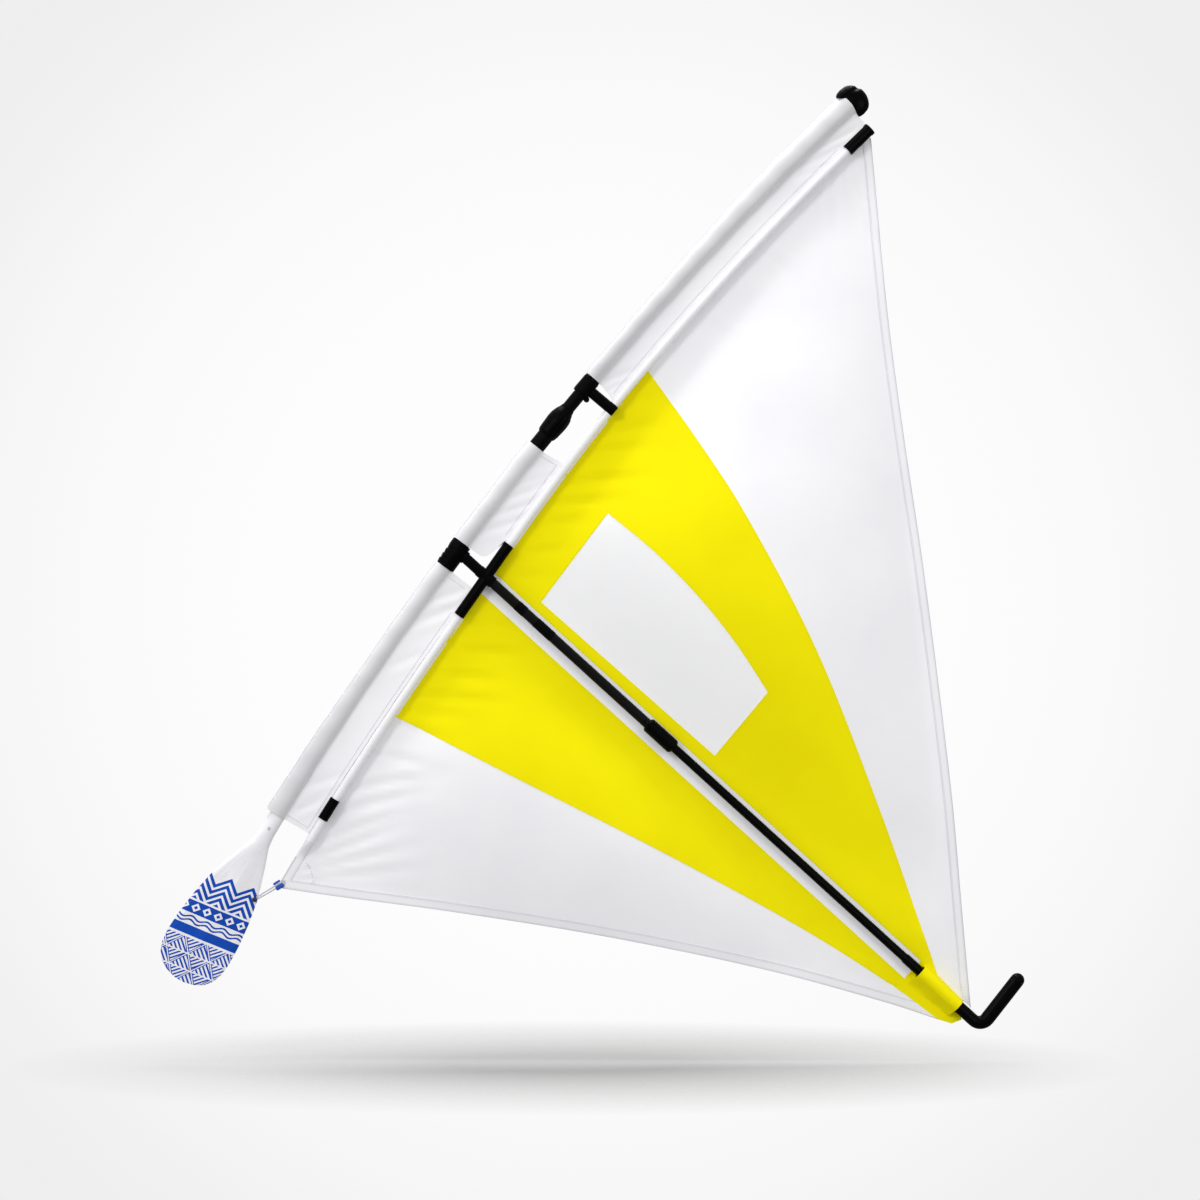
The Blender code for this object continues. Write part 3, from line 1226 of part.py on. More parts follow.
def turn_of(outline):
    total = 0.0
    for i in range(len(outline)):
        ax, az = outline[i]
        bx, bz = outline[(i + 1) % len(outline)]
        total += ax * bz - bx * az
    return total / 2.0


def inset(outline, distance):
    """The outline drawn in by a distance, mitred at its corners."""
    if turn_of(outline) < 0.0:
        outline = list(reversed(outline))
    count = len(outline)
    moved = []
    for i in range(count):
        before, here, after = outline[i - 1], outline[i], outline[(i + 1) % count]
        one = Vector((here[0] - before[0], here[1] - before[1])).normalized()
        two = Vector((after[0] - here[0], after[1] - here[1])).normalized()
        normal_one, normal_two = Vector((-one.y, one.x)), Vector((-two.y, two.x))
        mitre = normal_one + normal_two
        scale = distance / max(0.5 * mitre.length_squared, 0.02)
        moved.append((here[0] + mitre.x * scale, here[1] + mitre.y * scale))
    return moved


def cloth_points(outline, hole):
    """Inner points of a panel on one grid shared by the whole sail."""
    xs = [p[0] for p in outline]
    zs = [p[1] for p in outline]
    found = []
    row = math.floor(min(zs) / CLOTH_GRID)
    while row * CLOTH_GRID < max(zs):
        z = row * CLOTH_GRID
        column = math.floor(min(xs) / CLOTH_GRID)
        while column * CLOTH_GRID < max(xs):
            x = (column + 0.5 * (row % 2)) * CLOTH_GRID
            near = min(math.dist((x, z), p) for p in list(outline) + list(hole))
            if near > CLOTH_GRID * 0.45 and inside((x, z), outline) and not (hole and inside((x, z), hole)):
                found.append((x, z))
            column += 1
        row += 1
    return found


def make_panel(name, outline, material, thickness=CLOTH, hole=(), grommet=None):
    edge = inset(outline, SEAM_GAP / 2.0)
    inner = []
    if hole:
        inner = inset(hole, -SEAM_GAP / 2.0)
    extra = cloth_points(edge, inner)
    faces = fill(edge, inner, extra)
    mesh_data = bmesh.new()
    sheets = []
    for side in (-0.5, 0.5):
        sheet = []
        for x, z in list(edge) + list(inner) + extra:
            sheet.append(mesh_data.verts.new((x, cloth_depth(x, z) + side * thickness, z)))
        sheets.append(sheet)
    front, back = sheets
    for face in faces:
        mesh_data.faces.new([front[k] for k in face])
        mesh_data.faces.new([back[k] for k in reversed(face)])
    base = 0
    for loop in (edge, inner):
        count = len(loop)
        for i in range(count):
            k = (i + 1) % count
            mesh_data.faces.new((front[base + k], front[base + i], back[base + i], back[base + k]))
        base += count
    panel = add_object(name, mesh_data, material)
    if grommet is not None:
        place, radius = grommet
        matrix = frame(place, Vector((1.0, 0.0, 0.0)), Vector((0.0, 0.0, -1.0)), BACKWARD)
        tool = turned(rod_profile(radius, -CUT_OVERRUN, CUT_OVERRUN), matrix, SMALL_SEGMENTS)
        cut(panel, add_object(name + "_grommet_hole", tool, material))
    return panel


def station_on_luff(rise):
    """Station where a line beside the boom meets the luff edge."""
    low, high = CROSS_FOOT, CROSS_TOP
    for _ in range(40):
        middle = (low + high) / 2.0
        edge = luff_edge(middle)
        if boom_coords(edge.x, edge.z)[1] < rise:
            low = middle
        else:
            high = middle
    return (low + high) / 2.0


def make_sail(materials):
    tack, head, clew = sail_corners()
    leech_end = boom_point(LEECH_END_ALONG, LEECH_END_RISE)
    foot_end = boom_point(FOOT_END_ALONG, FOOT_END_RISE)
    leech = bowed(head, leech_end, LEECH_BOW, LEECH_BOW_SHARES)
    foot = bowed(tack, foot_end, FOOT_HOLLOW, FOOT_HOLLOW_SHARES)
    leech_seam = offset_line(leech, -LEECH_HEM_WIDTH)
    foot_seam = offset_line(foot, FOOT_HEM_WIDTH)

    yellow_end = flat(boom_point(YELLOW_END_ALONG, YELLOW_END_RISE))
    yellow = bowed(luff_edge(YELLOW_TOP), boom_point(YELLOW_END_ALONG, YELLOW_END_RISE), YELLOW_BOW, YELLOW_BOW_SHARES)
    lower = bowed(luff_edge(YELLOW_FOOT), foot_end, LOWER_BOW, LOWER_BOW_SHARES)
    high_station = station_on_luff(STRIP_ABOVE)
    low_station = station_on_luff(-STRIP_BELOW)
    strip_top = straight(flat(luff_edge(high_station)), flat(boom_point(STRIP_END, STRIP_ABOVE)))
    strip_foot = straight(flat(luff_edge(low_station)), flat(boom_point(STRIP_END, -STRIP_BELOW)))

    # The clew patch begins square with the end of the boom strip
    across_clew = [flat(boom_point(STRIP_END, STRIP_ABOVE)), flat(boom_point(STRIP_END, STRIP_ABOVE + 2 * LEECH_HEM_WIDTH))]
    upper_cut, _, upper_corner = crossing(yellow, across_clew)
    across_clew = [flat(boom_point(STRIP_END, -STRIP_BELOW)), flat(boom_point(STRIP_END, -STRIP_BELOW - 2 * FOOT_HEM_WIDTH))]
    lower_cut, _, lower_corner = crossing(lower, across_clew)

    mouth = flat(boom_point(PATCH_MOUTH_ALONG, PATCH_MOUTH_RISE))
    notch = flat(boom_point(PATCH_MOUTH_ALONG, -PATCH_NOTCH_DROP))
    tip = flat(boom_point(PATCH_TIP_ALONG, -PATCH_NOTCH_DROP))
    corner = flat(boom_point(PATCH_CORNER_ALONG, -PATCH_CORNER_DROP))
    patch = join(
        [flat(boom_point(STRIP_END, STRIP_ABOVE)), upper_corner], yellow[upper_cut + 1:], [mouth, notch, tip, corner],
        list(reversed(lower[lower_cut + 1:])), [lower_corner, flat(boom_point(STRIP_END, -STRIP_BELOW))],
    )
    make_panel("clew_patch", patch, materials["yellow"])

    window = join(
        straight(
            flat(boom_point(WINDOW_LEFT_ALONG, WINDOW_LEFT_RISE)),
            flat(boom_point(WINDOW_BOTTOM_ALONG, WINDOW_BOTTOM_RISE))),
        straight(
            flat(boom_point(WINDOW_BOTTOM_ALONG, WINDOW_BOTTOM_RISE)),
            flat(boom_point(WINDOW_RIGHT_ALONG, WINDOW_RIGHT_RISE))),
        list(reversed(bowed(
            boom_point(WINDOW_TOP_ALONG, WINDOW_TOP_RISE), boom_point(WINDOW_RIGHT_ALONG, WINDOW_RIGHT_RISE),
            WINDOW_BOW, WINDOW_BOW_SHARES))),
        straight(
            flat(boom_point(WINDOW_TOP_ALONG, WINDOW_TOP_RISE)),
            flat(boom_point(WINDOW_LEFT_ALONG, WINDOW_LEFT_RISE))),
    )
    make_panel("sail_window", window, materials["film"])

    upper_yellow = join(
        luff_line(high_station, YELLOW_TOP), yellow[:upper_cut + 1], [upper_corner], list(reversed(strip_top)))
    make_panel("yellow_panel_upper", upper_yellow, materials["yellow"], hole=window)

    strip = join(luff_line(low_station, high_station), strip_top, list(reversed(strip_foot)))
    make_panel("boom_strip", strip, materials["white"])

    lower_yellow = join(
        luff_line(YELLOW_FOOT, low_station), strip_foot, [lower_corner], list(reversed(lower[:lower_cut + 1])))
    make_panel("yellow_panel_lower", lower_yellow, materials["yellow"])

    # White head panel, between the luff, the leech hem and the yellow edge
    luff_above = luff_line(YELLOW_TOP, HEAD_STATION)
    luff_cut, seam_cut, head_tip = crossing(luff_above, leech_seam)
    seam_to_mouth = leech_seam[seam_cut + 1:]
    seam_to_mouth = [p for p in seam_to_mouth if boom_coords(*p)[1] > PATCH_MOUTH_RISE + LEECH_HEM_WIDTH / 4.0]
    head_panel = join(
        luff_above[:luff_cut + 1], [head_tip], seam_to_mouth, [mouth, yellow_end], list(reversed(yellow)))
    make_panel("head_panel", head_panel, materials["white"])
    leech_hem = join(
        [head_tip], luff_above[luff_cut + 1:], leech, [mouth], list(reversed(seam_to_mouth)))
    make_panel("leech_hem", leech_hem, materials["hem"], HEM_THICKNESS)

    # White foot panel, between the luff, the foot hem and the lower yellow edge
    luff_below = luff_line(TACK_HEM_CORNER, YELLOW_FOOT)
    luff_cut, seam_cut, tack_corner = crossing(luff_below, foot_seam)
    edge_cut, seam_end, clew_corner = crossing(lower, foot_seam)
    foot_panel = join(
        [tack_corner], luff_below[luff_cut + 1:], lower[:edge_cut + 1], [clew_corner],
        list(reversed(foot_seam[seam_cut + 1:seam_end + 1])))
    make_panel("foot_panel", foot_panel, materials["white"])
    foot_hem = join(
        foot, list(reversed(lower[edge_cut + 1:])), [clew_corner],
        list(reversed(foot_seam[seam_cut + 1:seam_end + 1])), [tack_corner])
    make_panel("foot_hem", foot_hem, materials["hem"], HEM_THICKNESS)

    left_edge = [flat(rig_point(s, luff_offset(s) - HEM_RADIUS)) for s in stations_between(TACK_HEM_CORNER, HEM_FOOT, SEAM_STEP)]
    right_edge = [tack_corner] + [p for p in luff_line(TACK_HEM_CORNER, HEM_FOOT) if p[1] > tack_corner[1]]
    flat_hem = join(left_edge, list(reversed(right_edge)), [flat(tack)])
    grommet_place = rig_point(GROMMET_STATION, GROMMET_OFFSET)
    grommet_place.y = cloth_depth(grommet_place.x, grommet_place.z)
    make_panel(
        "luff_hem_foot", flat_hem, materials["hem"], HEM_THICKNESS,
        grommet=(grommet_place, GROMMET_BORE + GROMMET_RIM + FIT))
    return grommet_place


def hem_section():
    """Hem tube round the spar, with the tail that the panels are sewn to."""
    start, end = math.radians(80.0), math.radians(405.0)
    steps = SMALL_SEGMENTS + 2
    outline = []
    for i in range(steps + 1):
        angle = start + (end - start) * i / steps
        outline.append((HEM_RADIUS * math.cos(angle), HEM_RADIUS * math.sin(angle)))
    outline.append((HEM_EDGE - SEAM_GAP, CLOTH_BACKSET - CLOTH / 2.0))
    outline.append((HEM_EDGE - SEAM_GAP, CLOTH_BACKSET + CLOTH / 2.0))
    return outline


def make_luff_hems(materials):
    outer = hem_section()
    inner = circle(SPAR_RADIUS + FIT, SMALL_SEGMENTS)
    pieces = (
        ("luff_hem_tack", HEM_FOOT + FIT, TACK_COLLAR_FOOT - FIT),
        ("luff_hem_lower", TACK_COLLAR_FOOT + TACK_COLLAR_LENGTH + FIT, CROSS_FOOT - FIT),
        ("luff_hem_middle", CROSS_TOP + FIT, STRUT_STATION - STRUT_RADIUS - FIT),
        ("luff_hem_upper", STRUT_STATION + STRUT_RADIUS + FIT, HEAD_SOCKET_FOOT - FIT),
    )
    for name, low, high in pieces:
        body = swept(rig_place(luff_offset), stations_between(low, high), lambda s: outer, lambda s: inner)
        add_object(name, body, materials["hem"])


def slack_at(station):
    return SLEEVE_SLACK * max(0.0, smooth_table(SLEEVE_SLACK_SHARES, station))


def loosened(ring, slack):
    """The section with its side away from the sail drawn out by the slack of the cloth."""
    reach = max(abs(x) for x, y in ring if x < 0.0)
    return [(x + slack * x / reach if x < 0.0 else x, y) for x, y in ring]


def sleeve_section(bore, reach):
    """Cloth round the mast and the web out to the luff hem."""
    radius = bore + CLOTH
    half = SLEEVE_WEB / 2.0
    root = radius + SLEEVE_FILLET
    start = math.radians(24.0)
    outline = []
    steps = SLEEVE_SEGMENTS
    for i in range(steps + 1):
        angle = start + (2.0 * math.pi - 2.0 * start) * i / steps
        outline.append((radius * math.cos(angle), radius * math.sin(angle)))
    web = [root + (reach - root) * share for share in SLEEVE_WEB_SHARES]
    outline += [(across, -half) for across in web]
    outline += [(across, half) for across in reversed(web)]
    return outline


def under_grip(across):
    """Station of the upper sleeve's top, which follows the lower edge of the grip."""
    return UPPER_SLEEVE_TOP + grip_underside(across - GRIP_SHIFT)


def make_sleeve(name, bore, low, high_at, low_at_hem, high_at_hem, foot_power, steps, material):
    """One mast sleeve; its ends run from the mast to their own stations at the hem."""
    inner = circle(bore, SLEEVE_SEGMENTS)
    margin = CUT_OVERRUN / 2.0
    fittings = (
        (TACK_COLLAR_FOOT, TACK_COLLAR_FOOT + TACK_COLLAR_LENGTH, TACK_COLLAR_RADIUS),
        (CROSS_FOOT, CROSS_TOP, CROSS_RADIUS),
        (HEAD_SOCKET_FOOT, HEAD_SOCKET_FOOT + HEAD_SOCKET_LENGTH + HEAD_CAP_LENGTH, HEAD_CAP_RADIUS),
    )
    web_width = luff_offset(low_at_hem) - CROSS_RADIUS - 2 * FIT - bore

    def station_at(share, across):
        hem_share = max(0.0, min(1.0, (across - bore) / web_width))
        foot = low + (low_at_hem - low) * hem_share**foot_power
        high = high_at(across)
        top = high + (high_at_hem - high) * hem_share**SLEEVE_STRAIGHT_POWER
        return foot + (top - foot) * share

    def reach_at(share):
        station = station_at(share, LUFF_AT_BOOM)
        clear = HEM_EDGE
        for fitting_low, fitting_high, radius in fittings:
            if fitting_low - margin < station < fitting_high + margin:
                clear = radius + 2 * FIT
        return luff_offset(station) - clear

    def place(share, across, depth):
        return rig_point(station_at(share, across), across, depth)

    shares = [i / steps for i in range(steps + 1)]
    span = high_at_hem - low_at_hem
    for mark in [place for fitting in fittings for place in fitting[:2]]:
        for side in (-1.5 * margin, -0.7 * margin, 0.7 * margin, 1.5 * margin):
            share = (mark + side - low_at_hem) / span
            if 0.01 < share < 0.99:
                shares.append(share)
    shares.sort()

    def outside(share):
        return loosened(sleeve_section(bore, reach_at(share)), slack_at(station_at(share, 0.0)))

    def hollow(share):
        return loosened(inner, slack_at(station_at(share, 0.0)))

    add_object(name, swept(place, shares, outside, hollow), material)


def make_sleeves(materials):
    make_sleeve(
        "mast_sleeve_lower", SLEEVE_INNER_RADIUS, LOWER_SLEEVE_FOOT, lambda across: LOWER_SLEEVE_TOP,
        LOWER_SLEEVE_FOOT, LOWER_SLEEVE_TOP_AT_HEM, SLEEVE_STRAIGHT_POWER, 9, materials["white"])
    make_sleeve(
        "mast_sleeve_middle", SLEEVE_INNER_RADIUS, MIDDLE_SLEEVE_FOOT, lambda across: MIDDLE_SLEEVE_TOP,
        MIDDLE_SLEEVE_FOOT_AT_HEM, MIDDLE_SLEEVE_TOP_AT_HEM, SLEEVE_NOTCHED_POWER, 5, materials["white"])
    make_sleeve(
        "mast_sleeve_upper", UPPER_SLEEVE_INNER_RADIUS, UPPER_SLEEVE_FOOT, under_grip,
        UPPER_SLEEVE_FOOT_AT_HEM, UPPER_SLEEVE_TOP, SLEEVE_STRAIGHT_POWER, 12, materials["white"])


def make_clew_pocket(materials):
    """Cloth arched over the handle where it passes the clew, sewn down on both sides."""
    bore = HANDLE_RADIUS + FIT
    radius = bore + CLOTH
    steps = 10

    base = CLOTH_BACKSET - CLOTH / 2.0 - FIT

    def section(along):
        share = (along - POCKET_START) / (POCKET_END - POCKET_START)
        flange = POCKET_FLANGE + (POCKET_MOUTH_FLANGE - POCKET_FLANGE) * share
        outer = [(radius + flange, base), (radius + flange, base - CLOTH), (radius, base - CLOTH)]
        inner = [(-radius - flange, base), (-bore, base)]
        for i in range(steps + 1):
            angle = math.pi * i / steps
            outer.append((radius * math.cos(angle), -radius * math.sin(angle)))
            inner.append((-bore * math.cos(angle), -bore * math.sin(angle)))
        outer += [(-radius, base - CLOTH), (-radius - flange, base - CLOTH)]
        inner.append((bore, base))
        return outer + inner

    stations = stations_between(POCKET_START, POCKET_END, (POCKET_END - POCKET_START) / 3.0)
    add_object("clew_pocket", swept(boom_place, stations, section), materials["yellow"])


# Tack tie

def make_tie(materials, grommet_place):
    matrix = frame(grommet_place, Vector((1.0, 0.0, 0.0)), Vector((0.0, 0.0, -1.0)), BACKWARD)
    half = HEM_THICKNESS / 2.0
    rim = half + FIT
    profile = [
        (GROMMET_BORE, -rim - GROMMET_RIM), (GROMMET_RADIUS, -rim - GROMMET_RIM), (GROMMET_RADIUS, -rim),
        (GROMMET_BORE + GROMMET_RIM, -rim), (GROMMET_BORE + GROMMET_RIM, rim), (GROMMET_RADIUS, rim),
        (GROMMET_RADIUS, rim + GROMMET_RIM), (GROMMET_BORE, rim + GROMMET_RIM),
    ]
    add_object("tack_grommet", turned(profile, matrix, SMALL_SEGMENTS), materials["steel"])

    blade = blade_matrix()
    hole = blade @ Vector((tie_hole_side(), 0.0, -TIE_HOLE_ALONG))
    share = TIE_HOLE_ALONG / BLADE_LENGTH
    cosine = tie_hole_side() / blade_half_width(share)
    front = blade_depth(share, cosine, -math.sqrt(1.0 - cosine * cosine))
    knot = Vector((hole.x, front - TIE_KNOT_FLATNESS - TIE_KNOT_STANDOFF, hole.z))
    start = grommet_place - BACKWARD * (rim + GROMMET_RIM + FIT + TIE_RADIUS)
    across = (knot - start).normalized()
    side = across.cross(BACKWARD).normalized()
    end = knot - across * (TIE_KNOT_RADIUS + FIT)
    steps = 6
    for index, sign in enumerate((-1.0, 1.0)):
        points = []
        for i in range(steps + 1):
            share = i / steps
            spread = TIE_STRAND_GAP * (0.45 + 0.2 * math.sin(math.pi * share))
            points.append(start + (end - start) * share + side * spread * sign)
        name = "downhaul_strand_%d" % (index + 1)
        add_object(name, cord_body(points, TIE_RADIUS), materials["blue"])
    ball = []
    rings = 6
    for i in range(rings):
        angle = math.pi * i / rings
        radius = TIE_KNOT_RADIUS * math.sin(angle) if i > 0 else 0.0
        ball.append((radius, -TIE_KNOT_FLATNESS * math.cos(angle)))
    tail = BLADE_BACK - knot.y
    ball += [(TIE_RADIUS, TIE_KNOT_FLATNESS), (TIE_RADIUS, tail), (0.0, tail)]
    knot_frame = frame(knot, Vector((1.0, 0.0, 0.0)), Vector((0.0, 0.0, -1.0)), BACKWARD)
    add_object("blade_knot", turned(ball, knot_frame, SMALL_SEGMENTS), materials["blue"], rig_point(BLADE_NECK, 0.0))


def cord_body(points, radius):
    mesh_data = bmesh.new()
    rings = []
    for index, point in enumerate(points):
        ahead = points[min(index + 1, len(points) - 1)] - points[max(index - 1, 0)]
        ahead.normalize()
        side = ahead.cross(BACKWARD).normalized()
        lift = side.cross(ahead).normalized()
        rings.append([mesh_data.verts.new(point + side * x + lift * y) for x, y in circle(radius, 8)])
    bridge(mesh_data, rings)
    mesh_data.faces.new(list(reversed(rings[0])))
    mesh_data.faces.new(rings[-1])
    return mesh_data


def main():
    clear_scene()
    materials = {
        "white": plastic("sail_white", (0.90, 0.91, 0.93), 0.65),
        "hem": plastic("hem_white", (0.95, 0.95, 0.96), 0.6),
        "yellow": plastic("sail_yellow", (0.95, 0.86, 0.01), 0.55),
        "film": plastic("window_film", (0.93, 0.93, 0.95), 0.25),
        "black": plastic("black_plastic", (0.012, 0.012, 0.013), 0.4),
        "rubber": plastic("black_rubber", (0.01, 0.01, 0.011), 0.6),
        "grey": plastic("grey_tube", (0.035, 0.033, 0.038), 0.35),
        "blade_white": plastic("blade_white", (0.72, 0.71, 0.74), 0.35),
        "steel": plastic("steel", (0.6, 0.6, 0.62), 0.3, 1.0),
        "blue": plastic("blue_cord", (0.01, 0.06, 0.42), 0.7),
    }
    make_blade(materials)
    make_shafts(materials)
    make_clamp(materials)
    make_grip(materials)
    make_spars(materials)
    make_boom_collar(materials)
    make_cross_fitting(materials)
    make_upper_collar(materials)
    make_small_fittings(materials)
    make_boom(materials)
    make_handle(materials)
    grommet_place = make_sail(materials)
    make_luff_hems(materials)
    make_sleeves(materials)
    make_clew_pocket(materials)
    make_tie(materials, grommet_place)


main()
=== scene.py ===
import math

import bmesh
import bpy
import numpy as np
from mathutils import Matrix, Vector
from mathutils.geometry import delaunay_2d_cdt


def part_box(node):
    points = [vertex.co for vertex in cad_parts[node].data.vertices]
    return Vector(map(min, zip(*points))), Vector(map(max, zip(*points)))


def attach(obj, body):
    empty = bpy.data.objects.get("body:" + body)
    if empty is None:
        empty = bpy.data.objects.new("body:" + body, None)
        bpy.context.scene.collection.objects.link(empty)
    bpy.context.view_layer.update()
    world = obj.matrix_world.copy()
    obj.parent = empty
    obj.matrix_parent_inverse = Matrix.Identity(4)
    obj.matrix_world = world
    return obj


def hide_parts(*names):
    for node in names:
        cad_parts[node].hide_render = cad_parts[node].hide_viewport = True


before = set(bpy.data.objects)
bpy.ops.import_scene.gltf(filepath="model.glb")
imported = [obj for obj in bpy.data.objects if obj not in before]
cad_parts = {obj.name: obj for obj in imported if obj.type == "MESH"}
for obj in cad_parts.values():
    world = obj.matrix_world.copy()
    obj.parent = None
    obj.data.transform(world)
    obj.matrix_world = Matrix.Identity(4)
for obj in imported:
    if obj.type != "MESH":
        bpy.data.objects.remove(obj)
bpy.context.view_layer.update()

# The rig's own lines, in metres, as the CAD model has them
MAST_RAKE = math.radians(53.4)
MAST_SAG = 0.058543  # over a chord of 2 m
MAST_BEND_RADIUS = 0.5 / MAST_SAG + MAST_SAG / 2.0
BOOM_STATION = 0.0138
BOOM_ANGLE = math.radians(95.6)
HEM_EDGE = 0.0105
HEM_RADIUS = 0.0102
HEM_BORE, HEM_WALL = 0.009, 0.001
LOWER_BORE, UPPER_BORE, SLEEVE_WALL = 0.0214, 0.0205, 0.001
CLOTH_PLANE = 0.021
CAMBER = 0.09
FLAT_SHARE = 0.06
CREASE_WIDTH = 0.22
CLOTH = 0.0007
BACK = Vector((0.0, 1.0, 0.0))
LUFF = ((-0.93, 0.101), (-0.11, 0.102), (0.533, 0.083), (1.49, 0.073))
TACK_AT = (-0.943, 0.0985)
HEAD_AT = (1.484, 0.0915)
LEECH_END = (1.7237, 0.0191)
FOOT_END = (1.682, -0.0593)

MM = 0.001
STEP = 0.014
PIXEL = 0.0025
PHOTO_ORIGIN = (453.2, 554.4)


def mast_up(s):
    a = MAST_RAKE - s / MAST_BEND_RADIUS
    return Vector((math.cos(a), 0.0, math.sin(a)))


def mast_in(s):
    a = MAST_RAKE - s / MAST_BEND_RADIUS
    return Vector((math.sin(a), 0.0, -math.cos(a)))


CENTRE = mast_in(0.0) * MAST_BEND_RADIUS


def rig(s, d, y=0.0):
    """A place by its station along the bent mast line and its offset toward the sail."""
    return CENTRE - mast_in(s) * (MAST_BEND_RADIUS - d) + BACK * y


def rig_coords(x, z):
    dx, dz = x - CENTRE.x, z - CENTRE.z
    s = (MAST_RAKE - np.arctan2(-dx, dz)) * MAST_BEND_RADIUS
    return s, MAST_BEND_RADIUS - np.hypot(dx, dz)


def curve(table, at):
    """A smooth curve through a table's places, straight beyond its ends."""
    xs, ys = zip(*table)
    n = len(table) - 1
    m = [(ys[min(i + 1, n)] - ys[max(i - 1, 0)]) / (xs[min(i + 1, n)] - xs[max(i - 1, 0)]) for i in range(n + 1)]
    if at <= xs[0]:
        return ys[0] + m[0] * (at - xs[0])
    if at >= xs[-1]:
        return ys[-1] + m[-1] * (at - xs[-1])
    i = max(k for k in range(n) if xs[k] <= at)
    w = xs[i + 1] - xs[i]
    t = (at - xs[i]) / w
    return ((2*t**3 - 3*t**2 + 1) * ys[i] + (3*t**2 - 2*t**3) * ys[i + 1]
            + ((t**3 - 2*t**2 + t) * m[i] + (t**3 - t**2) * m[i + 1]) * w)


def luff(s):
    return curve(LUFF, s)


ROOT = rig(BOOM_STATION, 0.0)
OUT = mast_up(BOOM_STATION) * math.cos(BOOM_ANGLE) + mast_in(BOOM_STATION) * math.sin(BOOM_ANGLE)
RISE = OUT.cross(BACK)


def boom(a, r, y=0.0):
    """A place by its distance along the boom line and its rise above it."""
    return ROOT + OUT * a + RISE * r + BACK * y


def boom_coords(x, z):
    dx, dz = x - ROOT.x, z - ROOT.z
    return dx * OUT.x + dz * OUT.z, dx * RISE.x + dz * RISE.z


def flat(p):
    return (p.x, p.z)


def on_boom(a, r):
    return flat(boom(a, r))


def pixel(u, v):
    """A place in the photo, in metres in the rig's plane."""
    return ((u - PHOTO_ORIGIN[0]) * PIXEL, (PHOTO_ORIGIN[1] - v) * PIXEL)


def unit(value):
    return max(0.0, min(1.0, value))


TACK, HEAD, CLEW = rig(*TACK_AT), rig(*HEAD_AT), boom(LEECH_END[0], 0.0)

# Fine creases, each from one place to another in the picture: u0, v0, u1, v1, width, height (mm)
CREASE_HEIGHT = 1.6 * MM
CREASES = (
    (578, 451, 650, 447, 9, 2.2), (560, 481, 648, 476, 10, 2.6), (549, 503, 622, 499, 9, 2.4),
    (530, 524, 590, 520, 8, 2.0), (604, 432, 655, 423, 9, 1.8), (514, 552, 566, 549, 8, 1.6),
    (622, 405, 668, 392, 9, 1.3), (500, 575, 548, 576, 8, 1.2),
    (470, 622, 540, 628, 9, 1.6), (452, 648, 525, 655, 10, 2.4), (430, 672, 500, 680, 9, 2.4),
    (412, 694, 505, 702, 9, 2.0), (402, 709, 470, 718, 8, 1.4),
    (392, 722, 450, 741, 10, 1.8), (372, 752, 440, 770, 12, 1.8), (350, 788, 440, 776, 12, 2.6),
    (336, 812, 430, 790, 12, 2.6), (318, 842, 405, 812, 10, 2.6), (305, 862, 400, 826, 9, 2.6),
    (300, 872, 410, 846, 8, 2.2), (298, 880, 420, 868, 8, 1.8),
    (833, 160, 838, 232, 9, 1.8), (845, 168, 862, 236, 9, 2.2), (820, 180, 818, 240, 9, 1.2),
    (856, 172, 880, 260, 7, 1.8), (760, 247, 790, 270, 9, 1.0), (700, 312, 728, 336, 9, 0.9),
    (905, 955, 880, 905, 8, 1.8), (925, 940, 905, 880, 8, 1.6), (880, 968, 838, 936, 8, 1.6),
    (962, 985, 950, 900, 8, 1.4), (900, 990, 830, 965, 8, 1.2),
)


def along_crease(a, b, x, z):
    """How far along a crease a place lies, as a share of its length, and how far beside it."""
    length = math.dist(a, b)
    dx, dz = (b[0] - a[0]) / length, (b[1] - a[1]) / length
    x, z = x - a[0], z - a[1]
    return (x * dx + z * dz) / length, z * dx - x * dz


def ridge(away, width, trough, beside_by):
    """A crease's section: a ridge with a shallower trough beside it."""
    return np.exp(-((away / width) ** 2)) - trough * np.exp(-((away / width - beside_by) ** 2))


def crease_depth(x, z):
    total = np.zeros_like(x)
    for u0, v0, u1, v1, width, height in CREASES:
        t, away = along_crease(pixel(u0, v0), pixel(u1, v1), x, z)
        widening = width * MM * (0.55 + 0.9 * np.clip(t, 0.0, 1.2))
        fade = np.clip(t * 6.0 + 0.3, 0.0, 1.0) * np.clip((1.25 - t) * 1.6, 0.0, 1.0) ** 1.5
        total += height * CREASE_HEIGHT * fade * ridge(away, widening, 0.55, 1.9)
    return total


def ripple(x, z, seed, scale, amount):
    """Smooth seeded waves from a few sines, for cloth that isn't quite even."""
    made = np.zeros_like(x)
    state = np.random.RandomState(seed)
    for _ in range(7):
        angle, phase = state.uniform(0.0, math.pi), state.uniform(0.0, 2.0 * math.pi)
        turn = 2.0 * math.pi / (scale * state.uniform(0.6, 1.7))
        made += np.sin((x * math.cos(angle) + z * math.sin(angle)) * turn + phase)
    return made * amount / 7.0


